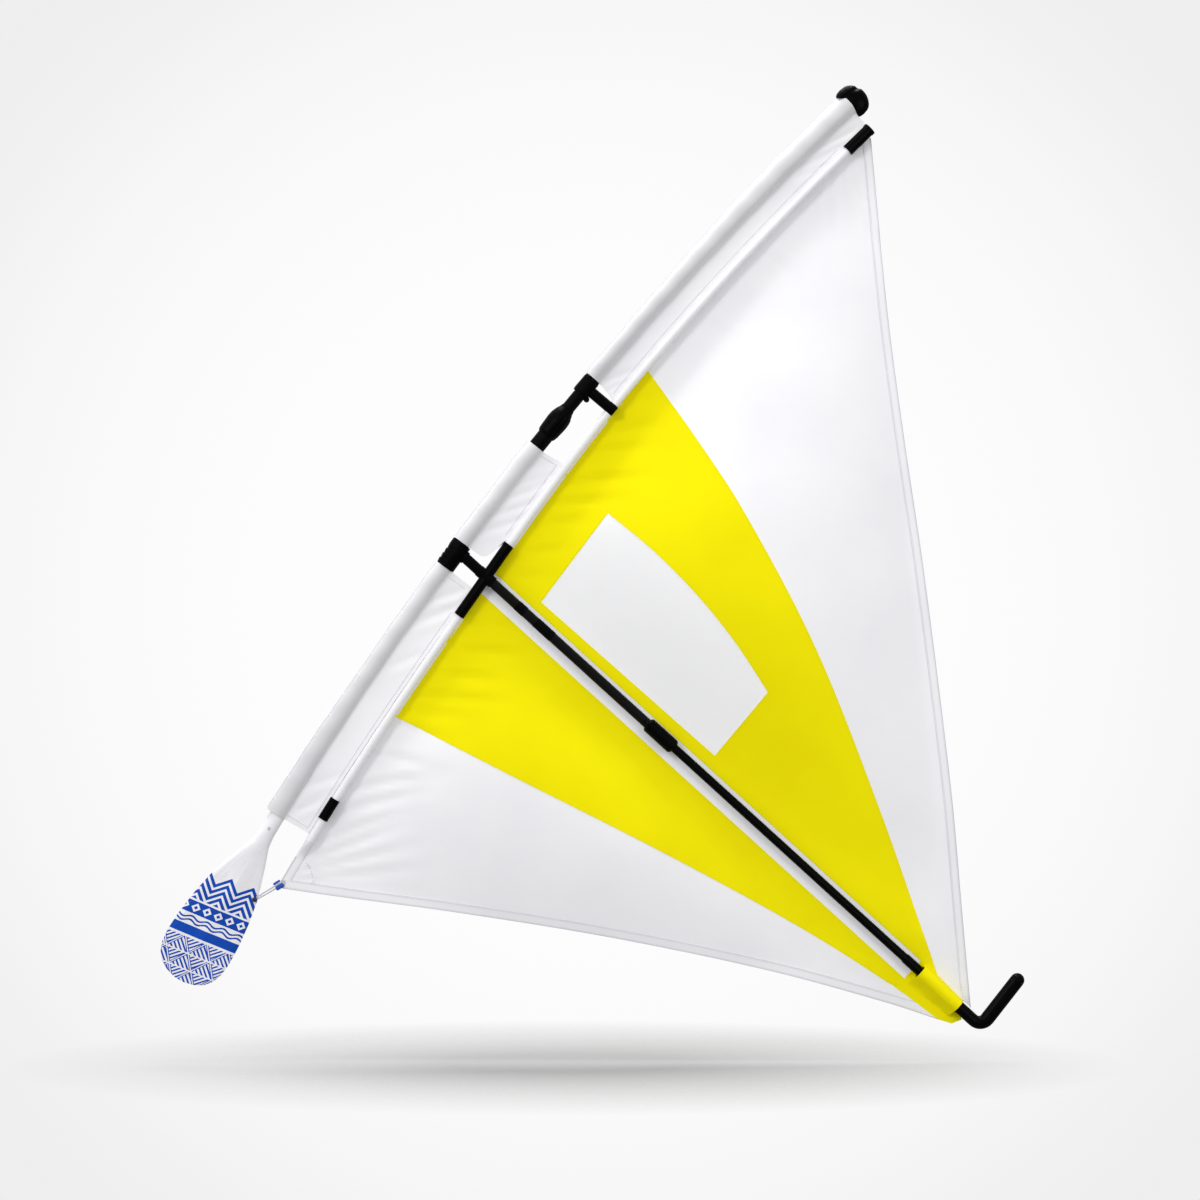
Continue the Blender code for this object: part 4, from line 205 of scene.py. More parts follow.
def cloth_depth(x, z):
    """Depth of the sail at places in the picture's plane, as the CAD model has it, with the fine creases."""
    x, z = np.asarray(x, dtype=float), np.asarray(z, dtype=float)
    to_head, to_clew = flat(HEAD - TACK), flat(CLEW - TACK)
    px, pz = x - TACK.x, z - TACK.z
    area = to_head[0] * to_clew[1] - to_clew[0] * to_head[1]
    head = (px * to_clew[1] - to_clew[0] * pz) / area
    clew = (to_head[0] * pz - px * to_head[1]) / area
    tack = 1.0 - head - clew
    swell = 27.0 * np.maximum(head, 0.0) * np.maximum(clew, 0.0) * np.maximum(tack, 0.0)
    rise = boom_coords(x, z)[1]
    swell = swell * (1.0 - np.exp(-((rise / CREASE_WIDTH) ** 2)))
    over = swell - FLAT_SHARE
    soft = 0.5 * (over + np.sqrt(over**2 + 0.02**2))
    clear = np.clip((np.abs(rise) - 0.02) / 0.03, 0.0, 1.0)
    return CLOTH_PLANE - CAMBER * soft + (crease_depth(x, z) + ripple(x, z, 3, 0.3, 0.0016)) * clear


# Lines and outlines in the picture's plane, as lists of (x, z)

def spread(low, high, step=STEP):
    count = max(1, round((high - low) / step))
    return [low + (high - low) * i / count for i in range(count + 1)]


def straight(a, b, step=STEP):
    a, b = np.array(a), np.array(b)
    count = max(1, round(float(np.hypot(*(b - a))) / step))
    return [tuple(a + (b - a) * i / count) for i in range(count + 1)]


def bowed(start, end, depth, shares):
    """A line that bows to one side of its chord, by a depth and a table of its shares."""
    chord = end - start
    count = max(2, round(chord.length / STEP))
    side = chord.normalized().cross(BACK)
    return [flat(start + chord * (i / count) + side * depth * curve(shares, i / count)) for i in range(count + 1)]


def polar(radius, degrees):
    a = math.radians(degrees)
    return (radius * math.cos(a), radius * math.sin(a))


def arc(radius, start, end, count):
    """Places on a circle round zero, from one angle to another in degrees, both included."""
    return [polar(radius, start + (end - start) * i / count) for i in range(count + 1)]


def circle(radius, count):
    return arc(radius, 0.0, 360.0, count)[:-1]


def beside(line, distance):
    moved = []
    for i, (x, z) in enumerate(line):
        ahead, behind = line[min(i + 1, len(line) - 1)], line[max(i - 1, 0)]
        run = math.dist(ahead, behind)
        moved.append((x - (ahead[1] - behind[1]) / run * distance, z + (ahead[0] - behind[0]) / run * distance))
    return moved


def crossing(line, other):
    """The first place where two lines cross, after the index of the piece of each that it lies on."""
    for i, ((ax, az), (bx, bz)) in enumerate(zip(line, line[1:])):
        rx, rz = bx - ax, bz - az
        for k, ((cx, cz), (ex, ez)) in enumerate(zip(other, other[1:])):
            sx, sz = ex - cx, ez - cz
            turn = rx * sz - rz * sx
            if turn == 0.0:
                continue
            t = ((cx - ax) * sz - (cz - az) * sx) / turn
            u = ((cx - ax) * rz - (cz - az) * rx) / turn
            if 0.0 <= t <= 1.0 and 0.0 <= u <= 1.0:
                return i, k, (ax + rx * t, az + rz * t)
    raise ValueError("the lines do not cross")


def join(*lines):
    """One outline through the lines in turn, without places that lie within 2 mm of the last."""
    nearest = 2.0 * MM
    outline = []
    for line in lines:
        for p in line:
            if not outline or math.dist(p, outline[-1]) > nearest:
                outline.append(tuple(p))
    if math.dist(outline[0], outline[-1]) <= nearest:
        outline.pop()
    return outline


def turn_of(outline):
    """The outline's area, below zero where it runs the other way round."""
    return sum(a[0] * b[1] - b[0] * a[1] for a, b in zip(outline, outline[1:] + outline[:1])) / 2.0


def grown(outline, distance):
    """The outline moved outward, for the lap under the next panel."""
    if turn_of(outline) < 0.0:
        outline = outline[::-1]
    moved = []
    for before, here, after in zip(outline[-1:] + outline, outline, outline[1:] + outline[:1]):
        one = Vector((here[0] - before[0], here[1] - before[1])).normalized()
        two = Vector((after[0] - here[0], after[1] - here[1])).normalized()
        mitre = Vector((one.y + two.y, -one.x - two.x))
        scale = distance / max(0.5 * mitre.length_squared, 0.4)
        moved.append((here[0] + mitre.x * scale, here[1] + mitre.y * scale))
    return moved


def inside_mask(px, pz, loop):
    hit = np.zeros(px.shape, dtype=bool)
    for (ax, az), (bx, bz) in zip(loop, loop[1:] + loop[:1]):
        if az != bz:
            hit ^= ((az > pz) != (bz > pz)) & (px < ax + (pz - az) * (bx - ax) / (bz - az))
    return hit


# Materials

class Nodes:
    """A node tree, with short ways to add to it; every value is a number, a tuple or another node's socket."""

    def __init__(self, tree):
        self.tree = tree

    def feed(self, slot, value):
        if isinstance(value, bpy.types.NodeSocket):
            self.tree.links.new(value, slot)
        else:
            slot.default_value = value

    def add(self, kind, *values, **named):
        """A node whose inputs take the values in order, and whose named settings and inputs take theirs."""
        made = self.tree.nodes.new("ShaderNode" + kind)
        for name in [name for name in named if hasattr(made, name)]:
            setattr(made, name, named.pop(name))
        for slot, value in zip(made.inputs, values):
            self.feed(slot, value)
        for name, value in named.items():
            self.feed(made.inputs[name.replace("_", " ")], value)
        return made

    def place(self, **values):
        """Places on the object, turned or stretched as given."""
        return self.add("Mapping", self.add("TexCoord").outputs["Object"], **values).outputs["Vector"]

    def noise(self, scale, detail, roughness=0.5, place=None):
        place = self.place() if place is None else place
        return self.add("TexNoise", place, Scale=scale, Detail=detail, Roughness=roughness).outputs["Fac"]

    def ramp(self, source, low, high, at=(0.0, 1.0)):
        made = self.add("ValToRGB", source)
        for stop, position, colour in zip(made.color_ramp.elements, at, (low, high)):
            stop.position, stop.color = position, (*colour, 1.0)
        return made.outputs["Color"]

    def ranged(self, source, low, high, **named):
        return self.add("MapRange", source, To_Min=low, To_Max=high, **named).outputs["Result"]

    def bump(self, height, strength, distance, **before):
        return self.add("Bump", Height=height, Strength=strength, Distance=distance, **before).outputs["Normal"]

    def length(self, place):
        return self.add("VectorMath", place, operation="LENGTH").outputs["Value"]

    def dot(self, place, direction):
        return self.add("VectorMath", place, tuple(direction), operation="DOT_PRODUCT").outputs["Value"]

    def maths(self, operation, *values):
        return self.add("Math", *values, operation=operation).outputs[0]

    def between(self, value, low, high):
        return self.both(self.maths("GREATER_THAN", value, low), self.maths("LESS_THAN", value, high))

    def repeat(self, value, pitch):
        return self.maths("FRACT", self.maths("DIVIDE", value, pitch))

    def either(self, first, *others):
        for value in others:
            first = self.maths("MAXIMUM", first, value)
        return first

    def both(self, first, *others):
        for value in others:
            first = self.maths("MULTIPLY", first, value)
        return first


class Surface(Nodes):
    """A new material's node tree; set() gives the shader's inputs their values."""

    def __init__(self, name):
        self.material = bpy.data.materials.new(name)
        self.material.use_nodes = True
        super().__init__(self.material.node_tree)
        self.shader = self.tree.nodes["Principled BSDF"]

    def set(self, **named):
        for name, value in named.items():
            self.feed(self.shader.inputs[name.replace("_", " ")], value)
        return self.material


def cloth_material(name, colour, shade, sheen=0.12, gloss=0.35, tube_shade_share=None):
    """Close-woven sail cloth: a fine plain weave with ripstop threads, and a slight unevenness of colour.

    tube_shade_share is the share of its colour that is left where the attribute "web" is 0: painted shade that
    makes a sleeve's cloth greyer round the mast than in the single web beside it."""
    look = Surface(name)
    turned = look.place(Rotation=(0.0, MAST_RAKE, 0.0))

    def threads(pitch, **values):
        values["Scale"] = math.pi / (10.0 * pitch)
        return [look.add("TexWave", turned, bands_direction=axis, **values).outputs["Fac"] for axis in ("X", "Z")]

    weave = 1.1 * MM
    plain = look.both(*threads(weave, Distortion=0.6, Detail=1.0))
    ripstop = look.either(*[look.ramp(thread, (0, 0, 0), (1, 1, 1), (0.9, 1.0)) for thread in threads(weave * 6.0)])
    height = look.maths("MULTIPLY_ADD", ripstop, 0.7, plain)
    tone = look.ramp(look.noise(3.5, 4.0, 0.55), shade, colour, (0.3, 0.62))
    grey = look.ramp(height, (0.6, 0.6, 0.6), (1, 1, 1))
    tone = look.add("MixRGB", 0.05, tone, grey, blend_type="MULTIPLY").outputs["Color"]
    # Painted shade: the colour is scaled down round the mast, where the attribute web is 0.
    if tube_shade_share is not None:
        web = look.add("Attribute", attribute_name="web").outputs["Fac"]
        tone = look.add("VectorMath", tone, Scale=look.ranged(web, tube_shade_share, 1.0), operation="SCALE").outputs["Vector"]
    crumple = look.bump(look.noise(22.0, 3.0), 0.3, 0.0012)
    return look.set(
        Base_Color=tone, Roughness=look.ranged(look.noise(160.0, 3.0, 0.6), 0.56, 0.68), Specular_IOR_Level=gloss,
        Sheen_Weight=sheen, Sheen_Roughness=0.45, Normal=look.bump(height, 0.18, 0.00012, Normal=crumple))


def film_material(name):
    """Clear flexible window sheet, slightly milky and uneven."""
    look = Surface(name)
    return look.set(
        Base_Color=look.ramp(look.noise(2.6, 3.0), (0.86, 0.865, 0.885), (0.93, 0.93, 0.94)),
        Roughness=look.ranged(look.noise(60.0, 5.0, 0.7), 0.16, 0.3), Specular_IOR_Level=0.3, Alpha=0.52,
        Normal=look.bump(look.noise(9.0, 2.0), 0.25, 0.0015))


def moulded_material(name, colour, lift, roughness, gloss):
    """Moulded plastic with a fine spark-eroded grain, rubbed paler here and there."""
    look = Surface(name)
    patchy = look.noise(38.0, 5.0, 0.62)
    return look.set(
        Base_Color=look.ramp(patchy, colour, lift, (0.45, 0.85)),
        Roughness=look.ranged(patchy, roughness - 0.08, roughness + 0.08), Specular_IOR_Level=gloss,
        Normal=look.bump(look.noise(900.0, 2.0), 0.35, 0.00006))


def tube_material(name, colour, lift, roughness, along, gloss):
    """Drawn or laminated tube with faint lines along its length."""
    look = Surface(name)
    lines = look.noise(1.0, 4.0, 0.6, look.place(Scale=(900.0, 900.0, 14.0), Rotation=(0.0, along, 0.0)))
    return look.set(
        Base_Color=look.ramp(lines, colour, lift, (0.35, 0.8)),
        Roughness=look.ranged(lines, roughness - 0.06, roughness + 0.08), Specular_IOR_Level=gloss,
        Normal=look.bump(lines, 0.12, 0.00008))


def steel_material(name):
    """Brushed steel."""
    look = Surface(name)
    lines = look.noise(1.0, 3.0, 0.5, look.place(Scale=(2500.0, 2500.0, 120.0)))
    return look.set(
        Base_Color=look.ramp(lines, (0.66, 0.66, 0.67), (0.86, 0.86, 0.87)), Metallic=1.0, Roughness=0.28,
        Normal=look.bump(lines, 0.1, 0.00005))


def cord_material(name, colour, shade):
    """Braided cord or thread."""
    look = Surface(name)
    braid = look.add("TexWave", look.place(), bands_direction="DIAGONAL", Scale=190.0, Distortion=2.0).outputs["Fac"]
    return look.set(
        Base_Color=look.ramp(braid, shade, colour, (0.2, 0.7)), Roughness=0.75, Sheen_Weight=0.2,
        Normal=look.bump(braid, 0.5, 0.0003))


WHITE = cloth_material("sail_white", (0.9, 0.9, 0.925), (0.865, 0.865, 0.895))
HEM = cloth_material("hem_white", (0.885, 0.885, 0.91), (0.845, 0.845, 0.875))
# Grey cloth for the cords along the hems' outer edges: painted shade where the cloth rolls away.
ROLL_SHADE = cloth_material("rolled_edge_painted_shade", (0.6, 0.59, 0.65), (0.52, 0.51, 0.57))
# Grey cloth for the cords along folds and seams: painted shade at the folds; on the sleeves' seams and darts partly the
# stitching's own grey too.
FOLD_SHADE = cloth_material("seam_fold_painted_shade", (0.72, 0.71, 0.76), (0.66, 0.65, 0.7))
# The sleeves' cloth takes painted shade round the mast, by the attribute web.
SLEEVE = cloth_material("sleeve_white", (0.93, 0.92, 0.945), (0.87, 0.86, 0.895), 0.05, 0.2, tube_shade_share=0.62)
YELLOW = cloth_material("sail_yellow", (0.915, 0.818, 0.0012), (0.87, 0.765, 0.0008), 0.0, 0.045)
FILM = film_material("window_film")
BLACK = moulded_material("black_plastic", (0.0006, 0.0006, 0.0006), (0.0014, 0.0014, 0.0016), 0.34, 0.035)
RUBBER = moulded_material("black_rubber", (0.001, 0.001, 0.001), (0.002, 0.002, 0.0021), 0.55, 0.03)
MAST_LINE, BOOM_LINE = MAST_RAKE - math.pi / 2.0, -math.atan2(OUT.x, OUT.z)
MAST_TUBE = tube_material("mast_tube", (0.0008, 0.0008, 0.0008), (0.0018, 0.0018, 0.002), 0.3, MAST_LINE, 0.04)
REAR_TUBE = tube_material("rear_tube", (0.0007, 0.0007, 0.0007), (0.0016, 0.0016, 0.0018), 0.32, BOOM_LINE, 0.035)
FRONT_TUBE = tube_material("front_tube", (0.0024, 0.0024, 0.0026), (0.0062, 0.006, 0.0068), 0.32, BOOM_LINE, 0.06)
STEEL = steel_material("steel")
BLUE = cord_material("blue_cord", (0.012, 0.085, 0.5), (0.004, 0.03, 0.24))
STITCH = cord_material("stitching", (0.5, 0.49, 0.54), (0.38, 0.37, 0.42))
STITCH_YELLOW = cord_material("yellow_stitching", (0.7, 0.62, 0.005), (0.6, 0.51, 0.004))
STRAP = cord_material("white_strap", (0.62, 0.61, 0.67), (0.34, 0.33, 0.38))
NAVY = cord_material("navy_cord", (0.008, 0.012, 0.075), (0.003, 0.005, 0.03))


# Meshes

def placed(name, data):
    item = bpy.data.objects.new(name, data)
    bpy.context.scene.collection.objects.link(item)
    return item


def made_object(name, bm, material, sharp=40.0):
    bmesh.ops.recalc_face_normals(bm, faces=bm.faces)
    mesh = bpy.data.meshes.new(name)
    bm.to_mesh(mesh)
    bm.free()
    mesh.materials.append(material)
    mesh.shade_smooth()
    mesh.set_sharp_from_angle(angle=math.radians(sharp))
    item = placed(name, mesh)
    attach(item, "rig")
    return item


def loft(bm, sections, capped=True):
    """A skin from each ring of places to the next, and over both ends; gives back the rings of vertices."""
    rings = [[bm.verts.new(p) for p in section] for section in sections]
    for low, high in zip(rings, rings[1:]):
        for k in range(len(low)):
            n = (k + 1) % len(low)
            bm.faces.new((low[k], low[n], high[n], high[k]))
    if capped:
        bm.faces.new(rings[0])
        bm.faces.new(rings[-1])
    return rings


def triangulate(outline, hole=(), extra=()):
    """Triangles over an outline, as indices into its places, then the hole's, then the extra ones."""
    points = [Vector(p) for p in (*outline, *hole, *extra)]
    edges = [(i, (i + 1) % len(outline)) for i in range(len(outline))]
    base = len(outline)
    edges += [(base + i, base + (i + 1) % len(hole)) for i in range(len(hole))]
    made = delaunay_2d_cdt(points, edges, [], 1, 1e-9)
    back = [sources[0] for sources in made[3]]
    faces = [[back[k] for k in face] for face in made[2]]
    if hole:
        flat_points = np.array([tuple(p) for p in points])
        middles = flat_points[np.array(faces)].mean(axis=1)
        in_hole = inside_mask(middles[:, 0], middles[:, 1], hole)
        faces = [face for face, cut in zip(faces, in_hole) if not cut]
    return faces


def grid_points(outline, hole, step):
    """Places of a triangular grid inside an outline, clear of its edges and its hole."""
    row_height = step * 0.866
    xs, zs = zip(*outline)
    rows = np.arange(math.floor(min(zs) / row_height), math.ceil(max(zs) / row_height) + 1)
    columns = np.arange(math.floor(min(xs) / step), math.ceil(max(xs) / step) + 1)
    r, c = np.meshgrid(rows, columns)
    px = ((c + 0.5 * (r % 2)) * step).ravel().astype(float)
    pz = (r * row_height).ravel().astype(float)
    keep = inside_mask(px, pz, outline) & ~inside_mask(px, pz, hole)
    px, pz = px[keep], pz[keep]
    near = np.full(px.shape, 9.0)
    for x, z in (*outline, *hole):
        near = np.minimum(near, (px - x) ** 2 + (pz - z) ** 2)
    keep = near > (0.55 * step) ** 2
    return list(zip(px[keep].tolist(), pz[keep].tolist()))


def sheet_piece(name, outline, material, replaced, step=STEP, hole=(), lift=0.0, thick=CLOTH):
    """One panel of sail cloth, as a thin closed shell; lift moves it towards the viewer at its seams."""
    if turn_of(outline) < 0.0:
        outline = outline[::-1]
    extra = grid_points(outline, hole, step)
    points = np.array([*outline, *hole, *extra])
    depth = cloth_depth(points[:, 0], points[:, 1]) - lift
    bm = bmesh.new()
    front, back = [
        [bm.verts.new((x, y + side, z)) for (x, z), y in zip(points, depth)] for side in (-thick / 2.0, thick / 2.0)]
    for face in triangulate(outline, hole, extra):
        bm.faces.new([front[k] for k in face])
        bm.faces.new([back[k] for k in reversed(face)])
    base = 0
    for loop in (outline, hole):
        count = len(loop)
        for i in range(count):
            k = (i + 1) % count
            bm.faces.new((front[base + k], front[base + i], back[base + i], back[base + k]))
        base += count
    item = made_object(name, bm, material, sharp=55.0)
    if replaced:
        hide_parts(replaced)
    flat_area = abs(turn_of(outline)) - abs(turn_of(hole))


def swept(place, stations, outer_at, inner=()):
    """A closed solid through a section at each station, with a bore if inner is given."""
    bm = bmesh.new()
    walls = [
        loft(bm, [[place(s, a, b) for a, b in section_at(s)] for s in stations], capped=False)
        for section_at in [outer_at, lambda s: inner][:2 if inner else 1]]
    for end in (0, -1):
        verts = [vert for rings in walls for vert in rings[end]]
        for face in triangulate(outer_at(stations[end]), inner):
            bm.faces.new([verts[k] for k in face])
    return bm


# Outlines of the sail's panels; the names of places are those on the rig
YELLOW_STATION, LOWER_STATION, FOOT_STATION = 0.668, -0.419, -0.932
STRIP_END, STRIP_RISE, STRIP_DROP = 1.552, 0.021, -0.039
YELLOW_END = (1.608, 0.0224)
MOUTH_AT = (1.6964, 0.0182)
LAP = 0.006
LAYER = 0.0009
LEECH_BOW = ((0.0, 0.0), (0.2, -0.62), (0.35, -0.2), (0.5, 0.6), (0.75, 1.0), (0.9, 0.4), (1.0, 0.0))
FOOT_BOW = ((0.0, 0.0), (0.085, 0.18), (0.26, 0.64), (0.5, 1.0), (0.74, 0.9), (0.92, 0.39), (1.0, 0.0))
YELLOW_BOW = ((0.0, 0.0), (0.108, 0.41), (0.25, 0.81), (0.48, 1.0), (0.74, 0.63), (0.93, 0.19), (1.0, 0.0))
LOWER_BOW = ((0.0, 0.0), (0.2, 0.42), (0.48, 0.94), (0.74, 1.0), (0.92, 0.52), (1.0, 0.0))
WINDOW_BOW = ((0.0, 0.0), (0.25, 0.75), (0.5, 1.0), (0.75, 0.75), (1.0, 0.0))
WINDOW_AT = ((0.244, 0.046), (0.825, 0.054), (0.813, 0.26), (0.218, 0.323))


def luff_edge(s, aside=HEM_EDGE):
    return rig(s, luff(s) + aside)


def luff_line(low, high, aside=HEM_EDGE):
    return [flat(luff_edge(s, aside)) for s in spread(low, high)]


def station_at(rise):
    """The station where the cloth's edge at the luff is as high above the boom line as asked."""
    low, high = -0.116, 0.104
    for _ in range(40):
        middle = (low + high) / 2.0
        p = luff_edge(middle)
        if boom_coords(p.x, p.z)[1] < rise:
            low = middle
        else:
            high = middle
    return (low + high) / 2.0


leech = bowed(HEAD, boom(*LEECH_END), 0.0135, LEECH_BOW)
foot = bowed(TACK, boom(*FOOT_END), 0.041, FOOT_BOW)
yellow = bowed(luff_edge(YELLOW_STATION), boom(*YELLOW_END), 0.0755, YELLOW_BOW)
lower = bowed(luff_edge(LOWER_STATION), boom(*FOOT_END), 0.033, LOWER_BOW)
high_s, low_s = station_at(STRIP_RISE), station_at(STRIP_DROP)
strip_high, strip_low = on_boom(STRIP_END, STRIP_RISE), on_boom(STRIP_END, STRIP_DROP)
strip_top = straight(flat(luff_edge(high_s)), strip_high)
strip_foot = straight(flat(luff_edge(low_s)), strip_low)
upper_cut, _, upper_corner = crossing(yellow, [strip_high, on_boom(STRIP_END, 0.063)])
lower_cut, _, lower_corner = crossing(lower, [strip_low, on_boom(STRIP_END, -0.085)])
upper_end, lower_end = straight(strip_high, upper_corner), straight(strip_low, lower_corner)
strip_end = straight(strip_low, strip_high)
mouth = on_boom(*MOUTH_AT)
patch_end = [on_boom(a, r) for a, r in ((1.6964, -0.0125), (1.7165, -0.0125), (1.7275, -0.0189), (1.716, -0.043))]
patch = join(upper_end, yellow[upper_cut + 1:], [mouth], patch_end, lower[:lower_cut:-1], lower_end[::-1], strip_end)
window_corners = [on_boom(*at) for at in WINDOW_AT]
window_top = bowed(boom(*WINDOW_AT[3]), boom(*WINDOW_AT[2]), 0.029, WINDOW_BOW)
window = join(
    straight(*window_corners[0:2]), straight(*window_corners[1:3]), window_top[::-1],
    straight(window_corners[3], window_corners[0]))

leech_seam = beside(leech, -0.021)
foot_seam = beside(foot, 0.023)
luff_above = luff_line(YELLOW_STATION, HEAD_AT[0])
luff_cut, seam_cut, head_tip = crossing(luff_above, leech_seam)
seam_to_mouth = [p for p in leech_seam[seam_cut + 1:] if boom_coords(*p)[1] > MOUTH_AT[1] + 0.005]
head_panel = join(luff_above[:luff_cut + 1], [head_tip], seam_to_mouth, [mouth, on_boom(*YELLOW_END)], yellow[::-1])
leech_hem = join([head_tip], luff_above[luff_cut + 1:], leech, [mouth], seam_to_mouth[::-1])
luff_below = luff_line(FOOT_STATION, LOWER_STATION)
foot_cut, foot_seam_cut, tack_corner = crossing(luff_below, foot_seam)
edge_cut, seam_end, clew_corner = crossing(lower, foot_seam)
seam_between = foot_seam[foot_seam_cut + 1:seam_end + 1]
foot_panel = join([tack_corner], luff_below[foot_cut + 1:], lower[:edge_cut + 1], [clew_corner], seam_between[::-1])
foot_hem = join(foot, lower[:edge_cut:-1], [clew_corner], seam_between[::-1], [tack_corner])
upper_yellow = join(luff_line(high_s, YELLOW_STATION), yellow[:upper_cut + 1], upper_end[::-1], strip_top[::-1])
lower_yellow = join(luff_line(LOWER_STATION, low_s), strip_foot, lower_end, lower[lower_cut::-1])
strip = join(luff_line(low_s, high_s), strip_top, strip_end[::-1], strip_foot[::-1])
left_edge = luff_line(FOOT_STATION, -0.802, -HEM_RADIUS)
right_edge = [tack_corner] + [p for p in luff_line(FOOT_STATION, -0.802) if p[1] > tack_corner[1]]
tack_hem = join(left_edge, right_edge[::-1], [flat(TACK)])

sheet_piece("head_panel_cloth", grown(head_panel, LAP * 0.6), WHITE, "head_panel", lift=-LAYER)
sheet_piece("foot_panel_cloth", grown(foot_panel, LAP * 0.6), WHITE, "foot_panel", lift=-LAYER)
sheet_piece("upper_yellow_cloth", upper_yellow, YELLOW, "yellow_panel_upper", hole=window)
sheet_piece("lower_yellow_cloth", lower_yellow, YELLOW, "yellow_panel_lower")
sheet_piece("boom_strip_cloth", grown(strip, LAP), WHITE, "boom_strip", lift=-LAYER)
sheet_piece("window_sheet", grown(window, LAP), FILM, "sail_window", lift=-LAYER, thick=0.0005)
sheet_piece("clew_patch_cloth", patch, YELLOW, "clew_patch", lift=0.0002)
for hem_name, hem_outline, hem_node in (
        ("leech_hem_cloth", leech_hem, "leech_hem"), ("foot_hem_cloth", foot_hem, "foot_hem"),
        ("tack_hem_cloth", tack_hem, "luff_hem_foot")):
    sheet_piece(hem_name, hem_outline, HEM, hem_node, step=0.007, lift=0.0003, thick=0.0018)

# The luff hem's section: round the spar, then flat over the cloth's edge
hem_section = arc(HEM_BORE + HEM_WALL, 78.0, 410.0, 28) + [
    (HEM_EDGE - 0.0006, 0.012), (HEM_EDGE - 0.0004, CLOTH_PLANE - 0.0008), (HEM_EDGE + 0.004, CLOTH_PLANE - 0.001),
    (HEM_EDGE + 0.004, CLOTH_PLANE - 0.0002), (HEM_EDGE - 0.002, CLOTH_PLANE + 0.0006), (0.005, 0.0136)]


def hem_place(s, a, b):
    swell = 1.0 + 0.025 * math.sin(s * 61.0) + 0.02 * math.sin(s * 143.0 + 1.0)
    grow = swell if math.hypot(a, b) > HEM_BORE + HEM_WALL / 2.0 and b < 0.011 else 1.0
    return rig(s, luff(s) + a * grow, b * grow)


for part, low, high in (
        ("tack", -0.8017, -0.7363), ("lower", -0.6757, -0.1163), ("middle", 0.1043, 0.519), ("upper", 0.547, 1.4167)):
    hem_mesh = swept(hem_place, spread(low, high, 0.012), lambda s: hem_section, circle(HEM_BORE, 24))
    item = made_object(part + "_luff_hem", hem_mesh, HEM)
    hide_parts("luff_hem_" + part)

# Creases of the mast sleeves: station and offset of both ends, width and height (mm)
SLEEVE_CREASE_HEIGHT = 1.4 * MM
SLEEVE_CREASES = (
    (0.575, 0.03, 0.64, 0.062, 7, 2.4), (0.565, 0.045, 0.615, 0.07, 6, 1.8), (0.59, 0.018, 0.56, 0.052, 6, 1.6),
    (1.3, 0.024, 1.42, 0.058, 9, 2.6), (1.36, 0.02, 1.465, 0.05, 7, 2.2), (1.27, 0.03, 1.35, 0.06, 8, 1.6),
    (0.135, 0.02, 0.23, 0.086, 7, 2.4), (0.085, 0.024, 0.165, 0.08, 7, 2.0), (0.18, 0.02, 0.3, 0.086, 8, 2.6),
    (0.235, 0.022, 0.318, 0.084, 6, 2.0), (0.3, 0.024, 0.33, 0.06, 6, 1.6),
    (-0.13, 0.024, -0.06, 0.072, 9, 2.4), (-0.2, 0.022, -0.11, 0.08, 10, 2.2), (-0.33, 0.03, -0.25, 0.08, 10, 1.2),
    (-0.76, 0.03, -0.7, 0.07, 9, 1.4), (-0.69, 0.02, -0.62, 0.08, 10, 1.2),
)
# By station: the share of the sleeves' most slack, how fast the web closes, and half its thickness
MOST_SLACK = 0.015
SLACK = (
    (-0.785, 0.53), (-0.65, 0.38), (-0.53, 0.24), (-0.41, 0.03), (-0.2, 0.0), (0.15, 0.0), (0.31, 0.2),
    (0.61, 0.05), (0.79, 0.22), (0.91, 0.42), (1.09, 0.73), (1.21, 0.92), (1.45, 1.0),
)
WEB_SPREAD = (
    (-0.785, 0.034), (-0.45, 0.03), (-0.15, 0.013), (0.1, 0.013), (0.35, 0.012), (0.56, 0.009), (1.0, 0.011),
    (1.5, 0.012),
)
WEB_BASE = ((-0.785, 0.005), (-0.25, 0.0048), (-0.12, 0.0012), (0.05, 0.0009), (1.5, 0.0009))
WEB_TURN = 30.0
UNDER_GRIP = ((-1.0, -0.55), (-0.72, -1.0), (-0.35, 0.5), (0.0, 0.85), (0.43, 0.45), (0.87, -0.05), (1.0, 0.0))
# Fittings between sleeve and luff hem: their stations and radius
COLLAR_RADIUS = 0.01375
FITTINGS = ((-0.736, -0.676, 0.0128), (-0.116, 0.104, COLLAR_RADIUS), (1.417, 1.496, 0.0163))
FITTING_GAP = 0.0006
LEAST_WEB = 0.21  # the attribute's least value on the sleeves below the grip's


def sleeve_crease(s, d):
    total = 0.0
    for s0, d0, s1, d1, width, height in SLEEVE_CREASES:
        t, away = along_crease((s0, d0), (s1, d1), s, d)
        if -0.1 < t < 1.15:
            fade = min(1.0, t * 4.0 + 0.4) * min(1.0, (1.15 - t) * 4.0)
            total += float(height * SLEEVE_CREASE_HEIGHT * fade * ridge(away, width * MM, 0.5, 1.8))
    return total


def slack_at(s):
    return MOST_SLACK * max(0.0, curve(SLACK, s))


def puff(s, across, bore):
    """How much a sleeve swells round the mast, as a share of its size."""
    uneven = 0.0004 * math.sin(s * 37.0 + across * 90.0) + 0.0003 * math.sin(s * 83.0 - across * 60.0 + 1.3)
    return uneven / bore + 0.012


def under_grip(across):
    return 1.4955 + 0.008 * curve(UNDER_GRIP, max(-1.0, min(1.0, (across + 0.0065) / 0.0425)))


def web_front(s, across, radius):
    """How far a sleeve's web stands proud of the mast's plane."""
    x0, y0 = polar(radius, WEB_TURN)
    base = curve(WEB_BASE, s)
    return base + (y0 - base) * math.exp(-max(0.0, across - x0) / curve(WEB_SPREAD, s))


